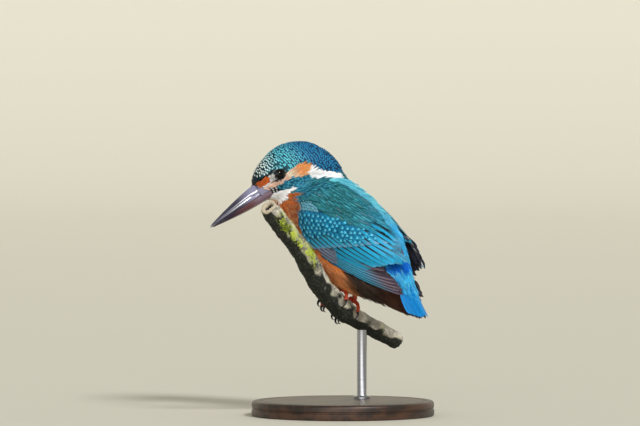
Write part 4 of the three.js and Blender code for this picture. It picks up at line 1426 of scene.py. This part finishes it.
def makeBranch():
    rings, sides = branchLook["rings"], branchLook["sides"]
    points, shades = [], []
    side = Vector((0, 1, 0))
    for i in range(rings):
        s = i / (rings - 1)
        ahead = headingOf(branchLine, s)
        side = (side - ahead * side.dot(ahead)).normalized()
        up = ahead.cross(side)
        middle = branchLine(s)
        tip = smooth(0.975, 1, s)
        for turn in turnsOf(sides):
            out = side * math.cos(turn) + up * math.sin(turn)
            flat = Vector((math.cos(turn) * 2.2, math.sin(turn) * 2.2, s * 16))
            crack = abs(noise.noise(flat * 1.6)) ** 0.5
            lump = noise.noise(Vector((flat.x, flat.y, s * 40)) * 1.1)
            rough = noise.noise(middle * 0.9 + out * 5)
            reach = branchRadius(s) + branchLook["bark"] * (crack - 0.75 + 0.5 * lump + 0.35 * rough)
            shift = ahead * (2.2 * noise.noise(out * 1.3 + Vector((3, 0, 0)))) * tip
            points.append(middle + out * reach + shift)
            # painted shade: the bark darkens on the side turned away from the lit direction, its edge
            # wavered by noise
            under = 0.5 - 0.5 * out.dot(branchLook["lit"]) + 0.25 * noise.noise(middle * 0.15 + out * 1.5)
            edge = abs(out.dot(branchLook["lit"]) - 0.45)
            green = smooth(0.58, 0.68, s) * smooth(0.97, 0.9, s) * smooth(0.35, 0.1, edge)
            shades.append((under, green, tip, 1))
    quads = ringFaces(rings, sides)
    # each end goes in as broken wood, in rings that shrink to the middle
    ends = []
    cut = (0, -headingOf(branchLine, 0), branchLook["cutDepth"])
    snapped = ((rings - 1) * sides, headingOf(branchLine, 1), branchLook["hollowDepth"])
    for first, ahead, depth in (cut, snapped):
        start = first
        centre = sum((points[first + k] for k in range(sides)), Vector()) / sides
        for step in range(1, 10):
            share = step / 10
            sunk = smooth(0.25, 0.7, share) if first else share
            ringStart = len(points)
            for k in range(sides):
                rim = points[first + k]
                jag = noise.noise((rim - centre) * (0.9 - 0.4 * share) + Vector((0, 0, step * 0.15)))
                out = depth * sunk + 0.7 * jag * (1 - share * 0.5)
                points.append(rim.lerp(centre, share) + ahead * out)
                # the snapped end's rings carry how deep they sink, which sets the hollow's painted shade
                shades.append((0.4, 0, 1 + sunk if first else 1, 1))
            for k in range(sides):
                a, b = start + k, start + (k + 1) % sides
                c, d = ringStart + (k + 1) % sides, ringStart + k
                quads.append((a, d, c, b) if first == 0 else (a, b, c, d))
            start = ringStart
        ring = tuple(range(start, start + sides))
        ends.append(ring if first else ring[::-1])
    branch = makeObject("branch", points, [quads, ends])
    paint(branch, "shade", shades)
    finish = Finish("bark", 0.9)
    shade = finish.node("SeparateColor")
    finish.link(shade.inputs[0], finish.layer("shade")[0])
    under, green, tip = shade.outputs
    coarse = finish.noise(120, 5)
    small = finish.noise(700, 4)
    lichenSpots = finish.noise(240, 4)
    bark = finish.blend(finish.step(coarse, 0.35, 0.65), *branchLook["grey"])
    bark = finish.blend(finish.step(small, 0.55, 0.7), bark, branchLook["flecks"])
    bark = finish.blend(finish.step(lichenSpots, 0.6, 0.66), bark, branchLook["lichen"])
    # painted shade: the dark bark of the side turned from the light
    dark = finish.blend(finish.step(small, 0.45, 0.7), *branchLook["shaded"])
    bark = finish.blend(finish.step(finish.plus(under, finish.times(coarse, 0.3)), 0.38, 0.52), bark, dark)
    stain = finish.times(green, finish.step(finish.plus(small, coarse), 0.9, 1.1))
    bark = finish.blend(stain, bark, branchLook["green"])
    wood = finish.blend(small, *branchLook["wood"])
    bark = finish.blend(finish.step(tip, 0.3, 0.9), bark, wood)
    # painted shade: the snapped end's hollow goes near black where it sinks deepest
    finish.colour(finish.blend(finish.step(tip, 1.2, 1.6), bark, branchLook["hollowShade"]))
    finish.bump(finish.plus(coarse, small), 0.7, 0.4)
    finishPiece(branch, finish.material, ("perch",))


# Moss: cushions of tiny shoots along the edge between the lit bark and the shaded.
mossLook = {"cushions": 70, "shoots": 34, "from": 0.57, "to": 0.9, "spread": 0.9, "length": 0.9,
            "width": 0.26, "front": Vector((0.53, -0.85, 0)), "fresh": "#c2d244", "old": "#84922f"}


def makeMoss():
    paths, ups, tints, patches = [], [], [], []
    for n in range(mossLook["cushions"]):
        s = mix(mossLook["from"], mossLook["to"], rng.random())
        ahead = headingOf(branchLine, s)
        lit = (branchLook["lit"] - ahead * branchLook["lit"].dot(ahead)).normalized()
        side = ahead.cross(lit)
        side = side if side.dot(mossLook["front"]) > 0 else -side
        turn = rng.normal(0.88, 0.24)
        out = (lit * math.cos(turn) + side * math.sin(turn)).normalized()
        centre = branchLine(s) + out * (branchRadius(s) - 0.25)
        size = mossLook["spread"] * (0.5 + 0.7 * rng.random())
        colour = mix(tone(mossLook["old"]), tone(mossLook["fresh"]), rng.random())
        for k in range(mossLook["shoots"]):
            lean = Vector(rng.normal(0, 1, 3))
            lean = (lean - out * lean.dot(out)) * 0.5
            root = centre + lean * size
            way = (out + lean * 0.9).normalized()
            length = mossLook["length"] * size * (0.6 + 0.6 * rng.random())
            paths.append([root + way * (length * share) for share in (0, 0.5, 1)])
            ups.append([way.orthogonal().normalized()] * 3)
            tints.append(colour * (0.75 + 0.5 * rng.random()))
            patches.append(((len(patches) % 50 + 0.5) / 50, (len(patches) // 50 + 0.5) / 50))
    half = np.full((len(paths), 1), mossLook["width"] / 2) * np.array([[0.8, 1, 0.15]])
    vane = {"thick": 0.08, "camber": 0.3}
    one = vaneSet(paths, ups, np.array([0, 0.5, 1]), half, vane, patches, tints, np.zeros((len(paths), 4)),
                  patchSize=0.016)
    finish = featherFinish("moss shoots", {"rough": 0.85, "barbs": 3, "rootShade": 0.45, "sheen": 0.1})
    makeVanes("moss", [one], finish)


makeBranch()
makeMoss()
print("branch made")

# Legs and feet: three toes over the front of the branch and one behind, with ringed scutes, and curved
# claws. Each toe has where it ends around the branch, its spread along it, and its width.
footLook = {"toe": 1, "claw": 0.75, "palm": 2, "lift": 1.65, "left": 0.39, "right": 0.292, "shank": 1.3,
            "rise": 7, "rake": 2.2, "inward": 0.6,
            "toes": ((96, -3.4, 0.9), (112, -0.2, 1), (100, 2.8, 0.92), (-92, 0.6, 0.95)),
            "skin": ("#b02a17", "#e0552c"), "creases": "#5c1712", "horn": ("#0d0b0c", "#2b2524")}


def footingAt(share):
    along = headingOf(branchLine, share)
    ahead = (Vector((0, -1, 0)) + along * along.y).normalized()
    return {"middle": branchLine(share), "along": along, "ahead": ahead, "up": ahead.cross(along),
            "reach": branchRadius(share)}


def hug(foot, turn, shift, lift):
    turn = math.radians(turn)
    reach = foot["reach"] + lift
    return (foot["middle"] + foot["along"] * shift + foot["up"] * (math.cos(turn) * reach)
            + foot["ahead"] * (math.sin(turn) * reach))


def scute(rings, height):
    return lambda s: 1 + height * ((s * rings) % 1) ** 2


def makeFoot(sideName, side, legFinish, clawFinish):
    foot, lift = footingAt(footLook[sideName]), footLook["lift"]
    toes, claws = [], []
    for end, spread, width in footLook["toes"]:
        way = math.copysign(1, end)
        rings = scute(11, 0.12)
        places = [hug(foot, mix(8 * way, end, s), spread * s ** 0.7, lift - 0.15 + 0.2 * math.sin(3 * s))
                  for s in np.linspace(0, 1, 46)]
        toes.append((places, lambda s, turn, w=width, rings=rings: footLook["toe"] * w * mix(1.14, 0.84, s)
                     * rings(s) * (1 + 0.06 * math.sin(9.4 * s * math.pi)), foot["along"]))
        places = [hug(foot, end + way * (38 * s - 4), spread,
                      lift + 1.15 * math.sin(math.pi * s * 0.9) - 0.5 * s) for s in np.linspace(0, 1, 24)]
        claws.append((places, lambda s, turn: footLook["claw"] * mix(1.02, 0.14, s ** 1.2), foot["along"]))
    palm, wide = hug(foot, 0, 0, lift + footLook["toe"] / 2), footLook["palm"]
    line = [palm + foot["along"] * (wide * 0.9 * t) for t in np.linspace(-1, 1, 15)]
    toes.append((line, lambda s, turn: wide * 0.92 * math.sqrt(max(1 - (2 * s - 1) ** 2, 0.03)),
                 foot["up"]))
    heel = hug(foot, 0, 0, lift + footLook["toe"]) + Vector((0, footLook["rake"], 0))
    knee = heel + Vector((-side * footLook["inward"], footLook["rake"] / 2, footLook["rise"]))
    line = [palm, palm.lerp(heel, 0.15)] + [heel.lerp(knee, t) for t in np.linspace(0, 1, 30)]
    rings = scute(7, 0.1)
    shank = [(line, lambda s, turn: footLook["shank"] * mix(1, 1.15, s) * rings(s), Vector((1, 0, 0)))]
    finishPiece(tubeObject("toes_" + sideName, toes, 20), legFinish, ("foot_" + sideName,))
    finishPiece(tubeObject("shank_" + sideName, shank, 24), legFinish, ("leg_" + sideName,))
    clawNodes = [f"claw_{sideName}_{i + 1}" for i in range(4)]
    finishPiece(tubeObject("claws_" + sideName, claws, 14), clawFinish, clawNodes)


def makeFeet():
    skinFinish = Finish("scaly red skin", 0.42, Subsurface_Weight=0.1)
    scales = skinFinish.node("TexVoronoi")
    scales.inputs["Scale"].default_value = 1100
    skinFinish.link(scales.inputs["Vector"], skinFinish.node("TexCoord").outputs["Object"])
    colour = skinFinish.blend(skinFinish.noise(300), *footLook["skin"])
    creases = skinFinish.times(scales.outputs[0], 0.5)
    skinFinish.colour(skinFinish.blend(creases, colour, footLook["creases"]))
    skinFinish.bump(scales.outputs[0], 0.5, 0.15)
    horn = Finish("claw horn", 0.2, Specular_IOR_Level=0.6)
    streaks = horn.noise(500)
    horn.colour(horn.blend(streaks, *footLook["horn"]))
    horn.bump(streaks, 0.15, 0.05)
    for sideName, side in (("left", 1), ("right", -1)):
        makeFoot(sideName, side, skinFinish.material, horn.material)


makeFeet()
print("feet made")

# Stand: a turned dark wooden base and a steel rod with a collar where it enters.
standLook = {"foot": ((-1.2, 0), (-0.6, 0.15), (-0.15, 0.6), (0, 1.2)), "groove": 0.5, "bevel": 1.6,
             "beads": ((4, 0), (4.4, 0.35), (4.9, 0.35), (5.3, 0)), "rod": 2.6, "collar": 4.4,
             "collarHeight": 1.6, "wood": ("#24150d", "#4a2e1c", "#150c07"),
             "steel": ("#9a9a9c", "#c4c4c6")}


def makeStand():
    low, high = (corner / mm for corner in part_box("stand_base"))
    centre, radius, thick = (low + high) / 2, (high.x - low.x) / 2, high.z - low.z
    centre.z = low.z
    groove, bevel = standLook["groove"], standLook["bevel"]
    edge = [(0, 0)] + [(radius + out, up) for out, up in standLook["foot"]]
    edge += [(radius, thick * 0.42), (radius - groove, thick * 0.47), (radius - groove, thick * 0.53),
             (radius - 0.1, thick * 0.58)]
    for k in range(9):
        turn = math.pi / 2 * k / 8
        edge.append((radius - bevel - 0.1 + bevel * math.cos(turn), thick - bevel + bevel * math.sin(turn)))
    edge += [(radius - back, thick - down) for back, down in standLook["beads"]] + [(0, thick)]
    base = turnedObject("display_base", edge, centre)
    wood = Finish("dark wood", 0.45, Coat_Weight=0.12, Coat_Roughness=0.3)
    grain = wood.noise(26, 6, stretch=(1, 7, 7))
    pores = wood.noise(160, 3, stretch=(1, 14, 14))
    darkest, lightest, pore = standLook["wood"]
    colour = wood.blend(wood.step(grain, 0.35, 0.65), darkest, lightest)
    wood.colour(wood.blend(wood.step(pores, 0.6, 0.7), colour, pore))
    wood.bump(pores, 0.15, 0.1)
    finishPiece(base, wood.material, ("stand_base",))
    low, high = (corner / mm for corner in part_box("stand_rod"))
    at = (low + high) / 2
    at.z = low.z
    tall, top, rod, collar = high.z - low.z, thick - low.z, standLook["rod"], standLook["collar"]
    collarTop = top + standLook["collarHeight"]
    outline = [(0, 0), (rod, 0), (rod, top - 0.05), (collar, top - 0.05), (collar, top + 1.1),
               (collar - 0.5, collarTop), (rod + 0.05, collarTop), (rod, collarTop + 0.1), (rod, tall),
               (0, tall)]
    post = turnedObject("display_rod", outline, at, sides=64)
    steel = Finish("brushed steel", 0.28, Metallic=1.0)
    brushed = steel.noise(90, 3, stretch=(1, 1, 40))
    steel.colour(steel.blend(brushed, *standLook["steel"]))
    steel.bump(brushed, 0.08, 0.05)
    finishPiece(post, steel.material, ("stand_rod",))


makeStand()
print("stand made")

# Stage: a pale floor that runs on into the backdrop, soft lamps, and the camera.
stageLook = {"azimuth": 122, "elevation": 1.5, "distance": 3.0, "lens": 320.7,
             "aim": (-0.03, -14.2, 106.3), "pale": "#d3cfbf", "air": "#e4e4e0", "airPower": 0.5,
             "floor": (-4500, 6500), "floorWide": 9000, "floorBend": 2500, "wallTop": 6000}
# Each lamp's azimuth, elevation, spread and power.
lamps = {"key lamp": (150, 37, 12, 2.1), "fill lamp": (115, 8, 50, 1.15)}


# A sheet that lies under the stand and curves up behind it.
def makeFloor():
    turn = math.radians(stageLook["azimuth"])
    back = Vector((-math.sin(turn), math.cos(turn), 0))
    side = Vector((back.y, -back.x, 0))
    bend, wide = stageLook["floorBend"], stageLook["floorWide"]
    front, behind = stageLook["floor"]
    line = [(front, 0), (behind - bend, 0)]
    for k in range(1, 25):
        angle = math.pi / 2 * k / 24
        line.append((behind - bend + bend * math.sin(angle), bend - bend * math.cos(angle)))
    line.append((behind, stageLook["wallTop"]))
    points = [back * x + Vector((0, 0, z)) + side * s for x, z in line for s in (-wide, wide)]
    faces = [(2 * i, 2 * i + 1, 2 * i + 3, 2 * i + 2) for i in range(len(line) - 1)]
    floor = makeObject("floor", points, [faces], origin=(0, 0, 0))
    finish = Finish("pale floor", 0.95)
    finish.colour(stageLook["pale"])
    floor.data.materials.append(finish.material)


# Puts a lamp or the camera at an azimuth and elevation, looking back at the aim.
def addToScene(name, data, azimuth, elevation, distance):
    obj = bpy.data.objects.new(name, data)
    bpy.context.scene.collection.objects.link(obj)
    a, e = math.radians(azimuth), math.radians(elevation)
    back = Vector((math.sin(a) * math.cos(e), -math.cos(a) * math.cos(e), math.sin(e)))
    obj.location = Vector(stageLook["aim"]) * mm + back * distance
    obj.rotation_euler = back.to_track_quat("Z", "Y").to_euler()
    return obj


makeFloor()
for name, (azimuth, elevation, spread, power) in lamps.items():
    lamp = bpy.data.lights.new(name, "SUN")
    lamp.angle = math.radians(spread)
    lamp.energy = power
    addToScene(name, lamp, azimuth, elevation, 3)
world = bpy.data.worlds.new("soft room")
world.use_nodes = True
air = world.node_tree.nodes["Background"]
air.inputs[0].default_value = (*tone(stageLook["air"]), 1)
air.inputs[1].default_value = stageLook["airPower"]
bpy.context.scene.world = world

lens = bpy.data.cameras.new("camera")
lens.lens = stageLook["lens"]
lens.clip_end = 50
bpy.context.scene.camera = addToScene("camera", lens, stageLook["azimuth"], stageLook["elevation"],
                                      stageLook["distance"])
bpy.context.scene.view_settings.view_transform = "Standard"
